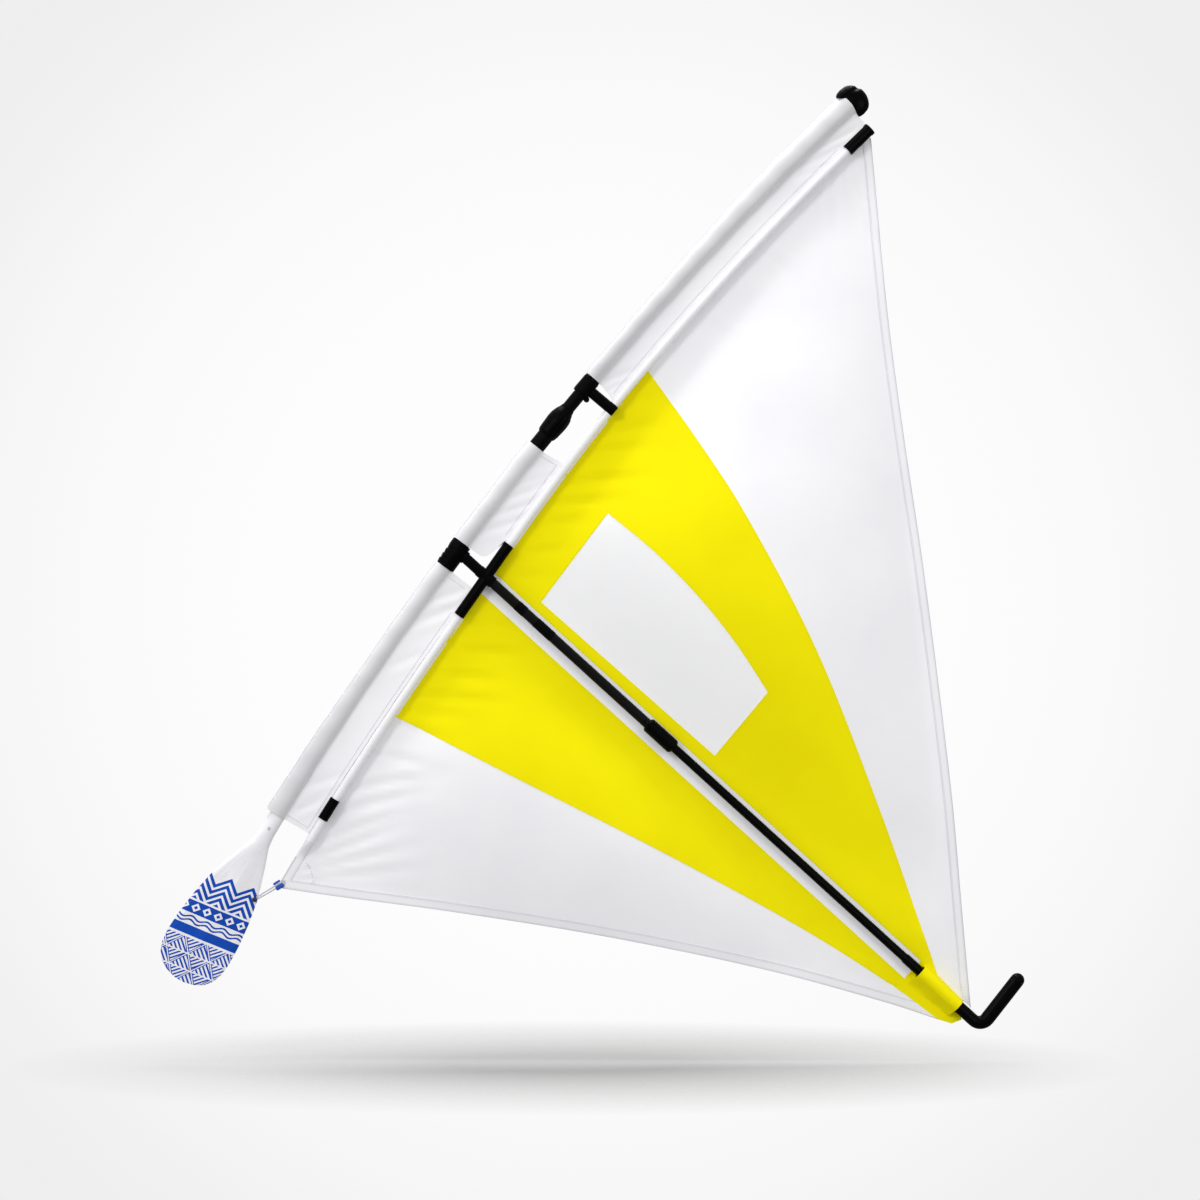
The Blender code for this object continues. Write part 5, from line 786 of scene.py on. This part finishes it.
def sleeve(name, node_name, bore, low, high_at, low_hem, high_hem, foot_power):
    """A sleeve round the mast and its web to the luff; its ends run from the mast to the hem's stations."""
    web_width = luff(low_hem) - COLLAR_RADIUS - FITTING_GAP - bore
    radius = bore + SLEEVE_WALL

    def station(share, across):
        hem = unit((across - bore) / web_width)
        start = low + (low_hem - low) * hem**foot_power
        high = high_at(across)
        end = high + (high_hem - high) * hem**1.3
        return start + (end - start) * share

    def reach_at(share):
        s = station(share, 0.1)
        clear = HEM_EDGE
        for a, b, fitting_radius in FITTINGS:
            if a - 0.002 < s < b + 0.002:
                clear = fitting_radius + FITTING_GAP
        return luff(s) - clear - 0.0001

    def section(share):
        points = arc(radius, WEB_TURN, 360.0 - WEB_TURN, 36)
        x0, reach = points[0][0], reach_at(share)
        xs = [x0 + (reach - x0) * i / 16 for i in range(1, 17)]
        web = [(x, web_front(station(share, 0.1), x, radius)) for x in xs]
        return points + [(x, -y) for x, y in web] + web[::-1]

    def place(share, across, depth):
        s = station(share, across)
        loose = across * (1.0 + slack_at(station(share, 0.0)) / radius) if across < 0.0 else across
        if math.hypot(across, depth) < bore + SLEEVE_WALL * 0.5:
            return rig(s, loose, depth)
        on_web = unit((across - bore * 0.75) / 0.012)
        off_hem = unit((reach_at(share) - across) / 0.008) if across > bore else 1.0
        grow = 1.0 + puff(s, across, bore) * (1.0 - on_web)
        return rig(s, loose * grow, depth * grow + sleeve_crease(s, across) * on_web * off_hem)

    count = max(6, round((high_hem - low_hem) / 0.011))
    shares = [i / count for i in range(count + 1)]
    for mark in [end for fitting in FITTINGS for end in fitting[:2]]:
        for side in (-0.0026, -0.0014, 0.0014, 0.0026):
            share = (mark + side - low_hem) / (high_hem - low_hem)
            if 0.004 < share < 0.996:
                shares.append(share)
    item = made_object(name, swept(place, sorted(shares), section, circle(bore, 36)), SLEEVE, sharp=60.0)
    # The attribute web runs from 0 round the mast, where the sleeve's painted shade is deepest, to 1 on the web.
    web = item.data.color_attributes.new("web", "FLOAT_COLOR", "POINT")
    for vertex, mark in zip(item.data.vertices, web.data):
        share = unit((rig_coords(vertex.co.x, vertex.co.z)[1] - 0.4 * bore) / (0.9 * bore))
        # Below the grip the attribute keeps at least LEAST_WEB, so the painted shade round the mast is lighter there.
        share = max(share, LEAST_WEB if bore == LOWER_BORE else 0.0)
        mark.color = (share, share, share, 1.0)
    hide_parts(node_name)


sleeve("lower_sleeve_cloth", "mast_sleeve_lower", LOWER_BORE, -0.785, lambda d: -0.0378, -0.785, -0.0395, 1.3)
sleeve("middle_sleeve_cloth", "mast_sleeve_middle", LOWER_BORE, 0.0375, lambda d: 0.34, 0.104, 0.3505, 8.0)
sleeve("upper_sleeve_cloth", "mast_sleeve_upper", UPPER_BORE, 0.5625, under_grip, 0.553, 1.4955, 1.3)


# The clew pocket, a yellow sleeve round the handle's tube
POCKET_BORE = 0.0159
POCKET_RADIUS = POCKET_BORE + 0.0009
POCKET_BASE = CLOTH_PLANE - 0.0009
POCKET_ENDS = (1.5675, 1.6955)
POCKET_TURN = math.radians(35.0)


def pocket_section(along):
    """Half round the tube, with a soft fillet down to the cloth on one side and a flange on the other."""
    share = (along - POCKET_ENDS[0]) / (POCKET_ENDS[1] - POCKET_ENDS[0])
    spread_by, flange = 0.025 - 0.006 * share, 0.008 - 0.0065 * share
    edge = POCKET_BASE - 0.0007
    start = (POCKET_RADIUS * math.cos(POCKET_TURN), -POCKET_RADIUS * math.sin(POCKET_TURN))
    reach = (edge - start[1]) / math.cos(POCKET_TURN)
    middle = (start[0] + math.sin(POCKET_TURN) * reach, edge)
    last = (max(POCKET_RADIUS + spread_by, middle[0] + 0.001), edge)
    outer = [(last[0], POCKET_BASE)]
    for i in range(9):
        t = i / 8
        sag = 1.0 + 0.16 * math.sin(along * 95.0 + 0.6) * math.sin(math.pi * t)
        x = last[0] * (1 - t) ** 2 + 2 * middle[0] * t * (1 - t) + start[0] * t * t
        y = last[1] * (1 - t) ** 2 + 2 * middle[1] * t * (1 - t) * sag + start[1] * t * t
        outer.append((x, min(y, edge)))
    inner = [(-POCKET_RADIUS - flange, POCKET_BASE), (-POCKET_BORE, POCKET_BASE)]
    for i in range(25):
        a = math.pi * i / 24
        crumple = 0.018 * math.sin(along * 88.0 + a * 4.0) + 0.012 * math.sin(along * 190.0 - a * 3.0)
        radius = POCKET_RADIUS * max(1.0, 1.0 + crumple * math.sin(a))
        if a > POCKET_TURN + 0.05:
            outer.append((radius * math.cos(a), -radius * math.sin(a)))
        inner.append((-POCKET_BORE * math.cos(a), -POCKET_BORE * math.sin(a)))
    outer += [
        (-POCKET_RADIUS - 0.0002, POCKET_BASE - 0.003), (-POCKET_RADIUS - 0.0012, POCKET_BASE - 0.0009),
        (-POCKET_RADIUS - flange, POCKET_BASE - 0.0008)]
    return outer + inner + [(POCKET_BORE, POCKET_BASE)]


pocket_mesh = swept(lambda a, across, y: boom(a, -across, y), spread(*POCKET_ENDS, 0.006), pocket_section)
pocket = made_object("clew_pocket_cloth", pocket_mesh, YELLOW)
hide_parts("clew_pocket")


# Seams: rolled edges and folds, drawn as grey cords of painted shade, and rows of stitches

def walk(line, pitch, start):
    """Places along a line at an even pitch, each with the line's direction there."""
    found, ahead = [], start
    for a, b in zip(line, line[1:]):
        length = math.dist(a, b)
        if length == 0.0:
            continue
        way = ((b[0] - a[0]) / length, (b[1] - a[1]) / length)
        while ahead <= length:
            found.append(((a[0] + way[0] * ahead, a[1] + way[1] * ahead), way))
            ahead += pitch
        ahead -= length
    return found


def welted(name, lines, radius, material=FOLD_SHADE):
    """A thin round cord along each line of places, for folded cloth; its default grey cloth is painted shade along the
    fold.
    """
    bm = bmesh.new()
    for points in lines:
        sections = []
        for i, point in enumerate(points):
            way = (points[min(i + 1, len(points) - 1)] - points[max(i - 1, 0)]).normalized()
            side = way.cross(BACK).normalized()
            sections.append([point + side * a + BACK * b for a, b in circle(radius, 8)])
        loft(bm, sections)
    made_object(name, bm, material)


def on_cloth(x, z, proud):
    return Vector((x, float(cloth_depth(x, z)) - proud, z))


def rolled(name, line, inset_by, radius=0.0014, proud=0.0003, material=ROLL_SHADE):
    """A line of folded cloth along an edge, in grey cloth that is painted shade along the edge."""
    welted(name, [[on_cloth(x, z, proud) for x, z in beside(line, inset_by)]], radius, material)


def stitch(bm, at, way):
    """One stitch: a thin spindle that lies along its row."""
    length, width, height = 0.0044, 0.001, 0.0007
    way = way.normalized()
    side = way.cross(BACK).normalized()
    tips = [bm.verts.new(at + way * (length / 2.0 * sign)) for sign in (-1.0, 1.0)]
    rings = []
    for share in (-0.3, 0.3):
        middle = at + way * (length * share)
        rings.append([
            bm.verts.new(middle + side * (width / 2.0 * a) + BACK * (height / 2.0 * b))
            for a, b in ((1, 0), (0, 1), (-1, 0), (0, -1))])
    for k in range(4):
        n = (k + 1) % 4
        bm.faces.new((rings[0][k], rings[0][n], rings[1][n], rings[1][k]))
        bm.faces.new((tips[0], rings[0][n], rings[0][k]))
        bm.faces.new((tips[1], rings[1][k], rings[1][n]))


def stitched(name, rows, material, pitch=0.0072):
    """Rows of stitches, each a line and how proud of the cloth it lies."""
    bm = bmesh.new()
    for line, proud in rows:
        for (x, z), way in walk(line, pitch, 0.003):
            stitch(bm, on_cloth(x, z, proud), Vector((way[0], 0.0, way[1])))
    made_object(name, bm, material)


# Grey cords along the outer edges of the leech, foot and tack: painted shade where the cloth rolls away.
rolled("leech_edge_roll", leech, -0.0013)
rolled("foot_edge_roll", foot, 0.0013)
rolled("tack_edge_roll", left_edge, -0.0012)
# Grey cords along the hems' inner edges: painted shade at their folds.
for fold_name, fold_line in (
        ("leech_fold", [head_tip] + seam_to_mouth), ("foot_fold", [tack_corner] + seam_between + [clew_corner]),
        ("tack_fold", right_edge)):
    rolled(fold_name, fold_line, 0.0, 0.0007, 0.0012, FOLD_SHADE)


def sleeve_seam(name, bore, places):
    """A folded line of stitching on a sleeve's web, through stations and offsets; its grey is partly the stitching's
    own and partly painted shade at the fold.
    """
    points = []
    for (s0, d0), (s1, d1) in zip(places, places[1:]):
        count = max(2, round(math.hypot(s1 - s0, d1 - d0) / 0.006))
        points += [(s0 + (s1 - s0) * i / count, d0 + (d1 - d0) * i / count) for i in range(count)]
    points.append(places[-1])
    radius = bore + SLEEVE_WALL
    line = [rig(s, d, sleeve_crease(s, d) - web_front(s, d, radius) - 0.0003) for s, d in points]
    welted(name, [line], 0.0007)


def from_hem(s, back):
    return (s, luff(s) - HEM_EDGE - back)


def on_tube(s, turn, bore, proud):
    """A place on a sleeve where it goes round the mast, with its turn in degrees."""
    radius = bore + SLEEVE_WALL + proud
    across, depth = polar(radius, turn)
    grow = 1.0 + puff(s, across, bore)
    return rig(s, across * (1.0 + slack_at(s) / radius) * grow, depth * grow)


def dart(s, index, bore):
    """A short seam across a sleeve, from its outer edge toward the front."""
    reach = 34.0 + 16.0 * math.sin(index * 2.3)
    return [on_tube(s - 0.004 * i / 8, 186.0 + reach * i / 8, bore, 0.0002) for i in range(9)]


def web_line(low, high, back):
    return [from_hem(s, back) for s in spread(low, high, 0.02)]


sleeve_seam("lower_sleeve_seam", LOWER_BORE, web_line(-0.775, -0.12, 0.01))
sleeve_seam("lower_sleeve_foot", LOWER_BORE, [(-0.772, 0.02), from_hem(-0.772, 0.01)])
sleeve_seam("lower_sleeve_top", LOWER_BORE, [(-0.052, 0.02), from_hem(-0.052, 0.018)])
sleeve_seam("middle_sleeve_seam", LOWER_BORE, web_line(0.12, 0.335, 0.01))
sleeve_seam("middle_sleeve_top", LOWER_BORE, [(0.328, 0.02), from_hem(0.336, 0.01)])
sleeve_seam("upper_sleeve_seam", UPPER_BORE, web_line(0.57, 1.4, 0.009))

# Each sleeve's outer edge, and the first and last of the short seams across it
DART_PITCH = 0.062
SLEEVE_EDGES = (
    ("lower", LOWER_BORE, (-0.78, -0.04), -0.75, -0.06), ("middle", LOWER_BORE, (0.04, 0.338), 0.07, 0.33),
    ("upper", UPPER_BORE, (0.565, 1.485), 0.59, 1.47))
# A grey cord in the stitching's material along each sleeve's outer edge: painted shade where the sleeve turns away.
for part, bore, ends, _, _ in SLEEVE_EDGES:
    outer_edge = [on_tube(s, 184.0, bore, 0.0001) for s in spread(*ends, 0.012)]
    welted(part + "_sleeve_edge", [outer_edge], 0.0009, STITCH)
# The darts' grey is partly their stitching's own and partly painted shade at their folds.
for part, bore, _, first, last in SLEEVE_EDGES:
    darts = [dart(first + DART_PITCH * i, i, bore) for i in range(int((last - first) / DART_PITCH) + 1)]
    welted(part + "_sleeve_darts", darts, 0.0005)

# The round luff hem flattens out below the spar's end
taper = bmesh.new()
taper_sections = []
for i in range(11):
    share = i / 10
    s = -0.8021 - 0.05 * share
    foot_depth = CLOTH_PLANE - 0.0009
    front = -HEM_RADIUS + (CLOTH_PLANE - 0.0022 + HEM_RADIUS) * (share * share * (3.0 - 2.0 * share))
    taper_sections.append([
        rig(s, luff(s) + 0.01 * a, foot_depth - (foot_depth - front) * b ** 0.8) for a, b in arc(1.0, 0.0, 180.0, 16)])
loft(taper, taper_sections)
taper_item = made_object("tack_hem_taper", taper, HEM)

# Rows of stitches, each as proud as the cloth that it lies on
ON_HEM, ON_YELLOW, ON_STRIP_END, ON_PATCH = 0.0013, 0.0004, 0.0007, 0.0006
hem_rows = [beside(edge, offset) for edge, offset in ((leech, -0.0042), (leech, -0.018), (foot, 0.0042), (foot, 0.02))]
hem_rows = [[p for p in row if not -0.07 <= boom_coords(*p)[1] <= 0.024] for row in hem_rows]
hem_rows += [luff_line(-0.926, -0.806, -HEM_RADIUS + 0.0035), luff_line(-0.914, -0.806, HEM_EDGE - 0.003)]
stitched("hem_stitching", [(row, ON_HEM) for row in hem_rows], STITCH)
around = grown(window, 0.003)
yellow_rows = [beside(yellow, -0.003), beside(lower, 0.003), beside(strip_top, 0.0028), beside(strip_foot, -0.0028)]
strip_end_row = straight(on_boom(STRIP_END + 0.004, -0.036), on_boom(STRIP_END + 0.004, 0.018))
stitched(
    "panel_stitching",
    [(row, ON_YELLOW) for row in yellow_rows] + [(strip_end_row, ON_STRIP_END), (around + around[:1], ON_YELLOW)],
    STITCH_YELLOW)

# Corner patch at the tack, under the hems
PATCH_CORNERS = ((281.5, 885.0), (293.0, 866.5), (303.5, 860.5), (309.0, 866.0), (312.6, 875.0), (313.5, 883.5))
PATCH_ROW = ((302.8, 861.8), (308.2, 867.0), (311.4, 875.4), (312.2, 882.8))
corners = [pixel(*at) for at in PATCH_CORNERS]
corner_patch = [p for a, b in zip(corners, corners[1:] + corners[:1]) for p in straight(a, b, 0.008)[:-1]]
sheet_piece("tack_corner_patch", corner_patch, WHITE, None, step=0.008, lift=-0.0001, thick=0.0008)
stitched("patch_stitching", [([pixel(*at) for at in PATCH_ROW], ON_PATCH)], STITCH, pitch=0.006)


# CAD pieces that keep their own shape

def paint(material, names):
    for name in names.split():
        for slot in bpy.data.objects[name].material_slots:
            slot.material = material


paint(BLACK, "boom_collar cross_fitting upper_collar clamp_body clamp_lever head_socket head_cap tack_collar boom_lock")
paint(BLACK, "boom_end_socket mast_grip handle_cap boom_rivet blade_ferrule shaft_bush")
paint(RUBBER, "boom_band_inner boom_band_outer boom_lock_collet")
paint(MAST_TUBE, "lower_shaft upper_shaft")
paint(REAR_TUBE, "boom_rear_tube handle_tube")
paint(FRONT_TUBE, "boom_front_tube luff_spar_lower luff_spar_upper")
paint(STEEL, "blade_snap_button clamp_pin tack_grommet")
paint(STRAP, "downhaul_strand_1 downhaul_strand_2")
paint(NAVY, "blade_knot")

# Blue lashing that holds the strap to the tack, in two turns beside the upper strand
lows, highs = zip(*[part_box(name) for name in ("downhaul_strand_1", "downhaul_strand_2")])
tie_start = Vector((sum(p[0] for p in highs) / 2.0, max(p[1] for p in highs), sum(p[2] for p in highs) / 2.0))
tie_end = Vector((sum(p[0] for p in lows) / 2.0, min(p[1] for p in lows), sum(p[2] for p in lows) / 2.0))
tie_way = (tie_end - tie_start).normalized()
tie_side = tie_way.cross(BACK).normalized()
tie_out = tie_side.cross(tie_way).normalized()


def blunted(value, size):
    return math.copysign(abs(value) ** 0.75, value) * size / 2.0


def lashing(name, along, across, length, width, thick, turns):
    """Flat turns of cord, lofted round the strands."""
    bm = bmesh.new()
    sections = []
    for i in range(turns * 6 + 1):
        share = i / (turns * 6)
        groove = 1.0 - 0.16 * (0.5 + 0.5 * math.cos(share * turns * math.tau))
        round_off = math.sqrt(max(0.0, 1.0 - abs(2.0 * share - 1.0) ** 5))
        scale = groove * (0.45 + 0.55 * round_off)
        middle = tie_start + tie_way * (along + length * (share - 0.5)) + tie_side * across
        sections.append([
            middle + tie_side * (blunted(a, width) * scale) + tie_out * (blunted(b, thick) * scale)
            for a, b in circle(1.0, 18)])
    loft(bm, sections)
    made_object(name, bm, BLUE)


lashing("tack_lashing_lower", 0.014, 0.0052, 0.023, 0.013, 0.008, 4)
lashing("tack_lashing_upper", 0.015, -0.0078, 0.02, 0.0066, 0.0066, 3)


def blade_material(name):
    """White moulded blade with a plain printed design: chevrons, diamonds, waves and hatched triangles."""
    neck_station = -0.836
    look = Surface(name)
    do, both, either, between = look.maths, look.both, look.either, look.between
    place, neck = look.place(), rig(neck_station, 0.0)
    down, across = [
        do("SUBTRACT", look.dot(place, way), way.dot(neck)) for way in (-mast_up(neck_station), mast_in(neck_station))]
    tilted = do("MULTIPLY_ADD", across, 0.15, down)
    shifted = do("ADD", across, 1.0)

    def stripes(value, pitch, share):
        return do("LESS_THAN", look.repeat(value, pitch), share)

    chevron = do("SUBTRACT", tilted, do("PINGPONG", shifted, 0.029))
    chevrons = both(
        stripes(do("SUBTRACT", chevron, 0.142), 0.0185, 0.58), do("GREATER_THAN", chevron, 0.142),
        do("LESS_THAN", tilted, 0.224))
    cell = do("ABSOLUTE", do("SUBTRACT", look.repeat(shifted, 0.03), 0.5))
    diamond = do("ADD", cell, do("ABSOLUTE", do("DIVIDE", do("SUBTRACT", tilted, 0.245), 0.03)))
    outside, core = do("GREATER_THAN", diamond, 0.4), do("LESS_THAN", diamond, 0.17)
    diamonds = both(between(tilted, 0.229, 0.261), either(outside, core))
    swing = do("MULTIPLY", do("SINE", do("MULTIPLY", across, 2.0 * math.pi / 0.042)), 0.0036)
    wave = do("SUBTRACT", tilted, swing)
    waves = either(*[between(wave, at - 0.0024, at + 0.0024) for at in (0.2715, 0.2815)])
    band = between(tilted, 0.291, 0.315)
    row = do("DIVIDE", do("SUBTRACT", tilted, 0.318), 0.04)
    inside_row = do("FRACT", row)
    along_row = do("FRACT", do("ADD", do("DIVIDE", shifted, 0.058), do("MULTIPLY", do("FLOOR", row), 0.5)))
    gap = do("SUBTRACT", inside_row, do("ABSOLUTE", do("MULTIPLY_ADD", along_row, 2.0, -1.0)))
    up = both(do("GREATER_THAN", gap, 0.1), stripes(do("SUBTRACT", tilted, across), 0.0125, 0.5))
    over = both(do("LESS_THAN", gap, -0.1), stripes(do("ADD", tilted, across), 0.0125, 0.5))
    rim = between(do("ABSOLUTE", gap), 0.05, 0.14)
    hatched = both(do("GREATER_THAN", tilted, 0.318), do("GREATER_THAN", inside_row, 0.08), either(up, over, rim))
    printed = either(chevrons, diamonds, waves, band, hatched)

    patchy = look.noise(14.0, 4.0, 0.6, place)
    white = look.ramp(patchy, (0.8, 0.79, 0.83), (0.86, 0.855, 0.88), (0.3, 0.7))
    blue = look.ramp(patchy, (0.003, 0.052, 0.36), (0.0055, 0.072, 0.46), (0.3, 0.7))
    return look.set(
        Base_Color=look.add("MixRGB", printed, white, blue).outputs["Color"], Roughness=look.ranged(patchy, 0.26, 0.4),
        Specular_IOR_Level=0.12, Normal=look.bump(look.noise(300.0, 2.0, 0.5, place), 0.2, 0.00004))


paint(blade_material("blade_print"), "paddle_blade")

# A floor that shows near the sail and fades out round it; its grey, darker than the backdrop where it shows, is painted
# shade under the sail, besides the real shadow that it takes
FLOOR_Z = -1.272
floor_mesh = bpy.data.meshes.new("floor")
floor_corners = ((-2.2, -2.2), (2.9, -2.2), (2.9, 2.6), (-2.2, 2.6))
floor_mesh.from_pydata([(x, y, FLOOR_Z) for x, y in floor_corners], [], [(0, 1, 2, 3)])
floor = placed("floor", floor_mesh)
look = Surface("floor_grey_painted_shade")
look.set(Base_Color=(0.36, 0.36, 0.365, 1.0), Roughness=0.9, Specular_IOR_Level=0.0)
# Painted shade: the floor is darker than the backdrop near the sail and fades out further away.
reach = look.length(look.place(Location=(-0.2, 0.0, 0.0), Scale=(0.7, 1.15, 0.0)))
fade = look.ramp(reach, (1, 1, 1), (0, 0, 0), (0.2, 0.98))
clear = look.add("BsdfTransparent").outputs[0]
look.feed(
    look.tree.nodes["Material Output"].inputs["Surface"],
    look.add("MixShader", fade, clear, look.shader.outputs[0]).outputs[0])
floor_mesh.materials.append(look.material)

# A white world to light it, brighter above, and a pale backdrop for the camera's own rays, with painted shade in a
# darker ring toward the picture's edges
world = bpy.data.worlds.new("studio")
bpy.context.scene.world = world
world.use_nodes = True
world.node_tree.nodes.clear()
look = Nodes(world.node_tree)
toward = look.add("TexCoord").outputs["Generated"]
sky = look.ranged(look.dot(toward, (-0.3, -0.25, 0.92)), 0.24, 0.88, From_Min=-1.0, From_Max=1.0)
fill = look.add("Background", (1.0, 1.0, 1.0, 1.0), sky).outputs[0]
off_axis = look.length(look.add("Mapping", toward, Scale=(1.0, 0.0, 1.0)).outputs["Vector"])
# Painted shade on the backdrop: pale in the middle, darker in a ring further out, then pale again at the edges.
backdrop_painted_shade = look.add("ValToRGB", off_axis)
backdrop_painted_shade.color_ramp.interpolation = "B_SPLINE"
for at, level in ((0.1, 0.985), (0.18, 0.935), (0.24, 0.815), (0.32, 0.965)):
    backdrop_painted_shade.color_ramp.elements.new(at).color = (level, level, level, 1.0)
backdrop_painted_shade.color_ramp.elements[0].color = (0.985, 0.985, 0.985, 1.0)
backdrop_painted_shade.color_ramp.elements[-1].color = (0.965, 0.965, 0.965, 1.0)
seen = look.add("Background", backdrop_painted_shade.outputs["Color"], 1.0).outputs[0]
rays = look.add("LightPath").outputs
direct = look.either(rays["Is Camera Ray"], rays["Is Transmission Ray"])
look.add("OutputWorld", look.add("MixShader", direct, fill, seen).outputs[0])

for name, at, aim, power, width, height in (
        ("key", (-2.8, -4.6, 2.5), (0.2, 0.0, 0.0), 100.0, 1.4, 1.4),
        ("side", (3.4, -4.4, 0.6), (0.5, 0.0, -0.2), 44.0, 1.6, 1.6),
        ("top", (0.35, 0.5, 3.6), (0.35, 0.05, -0.6), 235.0, 2.4, 3.0)):
    lamp = bpy.data.lights.new(name, "AREA")
    lamp.energy, lamp.shape, lamp.size, lamp.size_y = power, "RECTANGLE", width, height
    item = placed(name, lamp)
    item.location = at
    item.rotation_euler = (Vector(aim) - Vector(at)).to_track_quat("-Z", "Y").to_euler()

LENS, SENSOR, PICTURE = 100.0, 36.0, 3.0
middle = pixel(600, 600)
camera_data = bpy.data.cameras.new("camera")
camera_data.lens, camera_data.sensor_width = LENS, SENSOR
camera = placed("camera", camera_data)
camera.location = (middle[0], -PICTURE * LENS / SENSOR, middle[1])
camera.rotation_euler = (math.pi / 2.0, 0.0, 0.0)
bpy.context.scene.camera = camera
bpy.context.scene.view_settings.view_transform = "Standard"
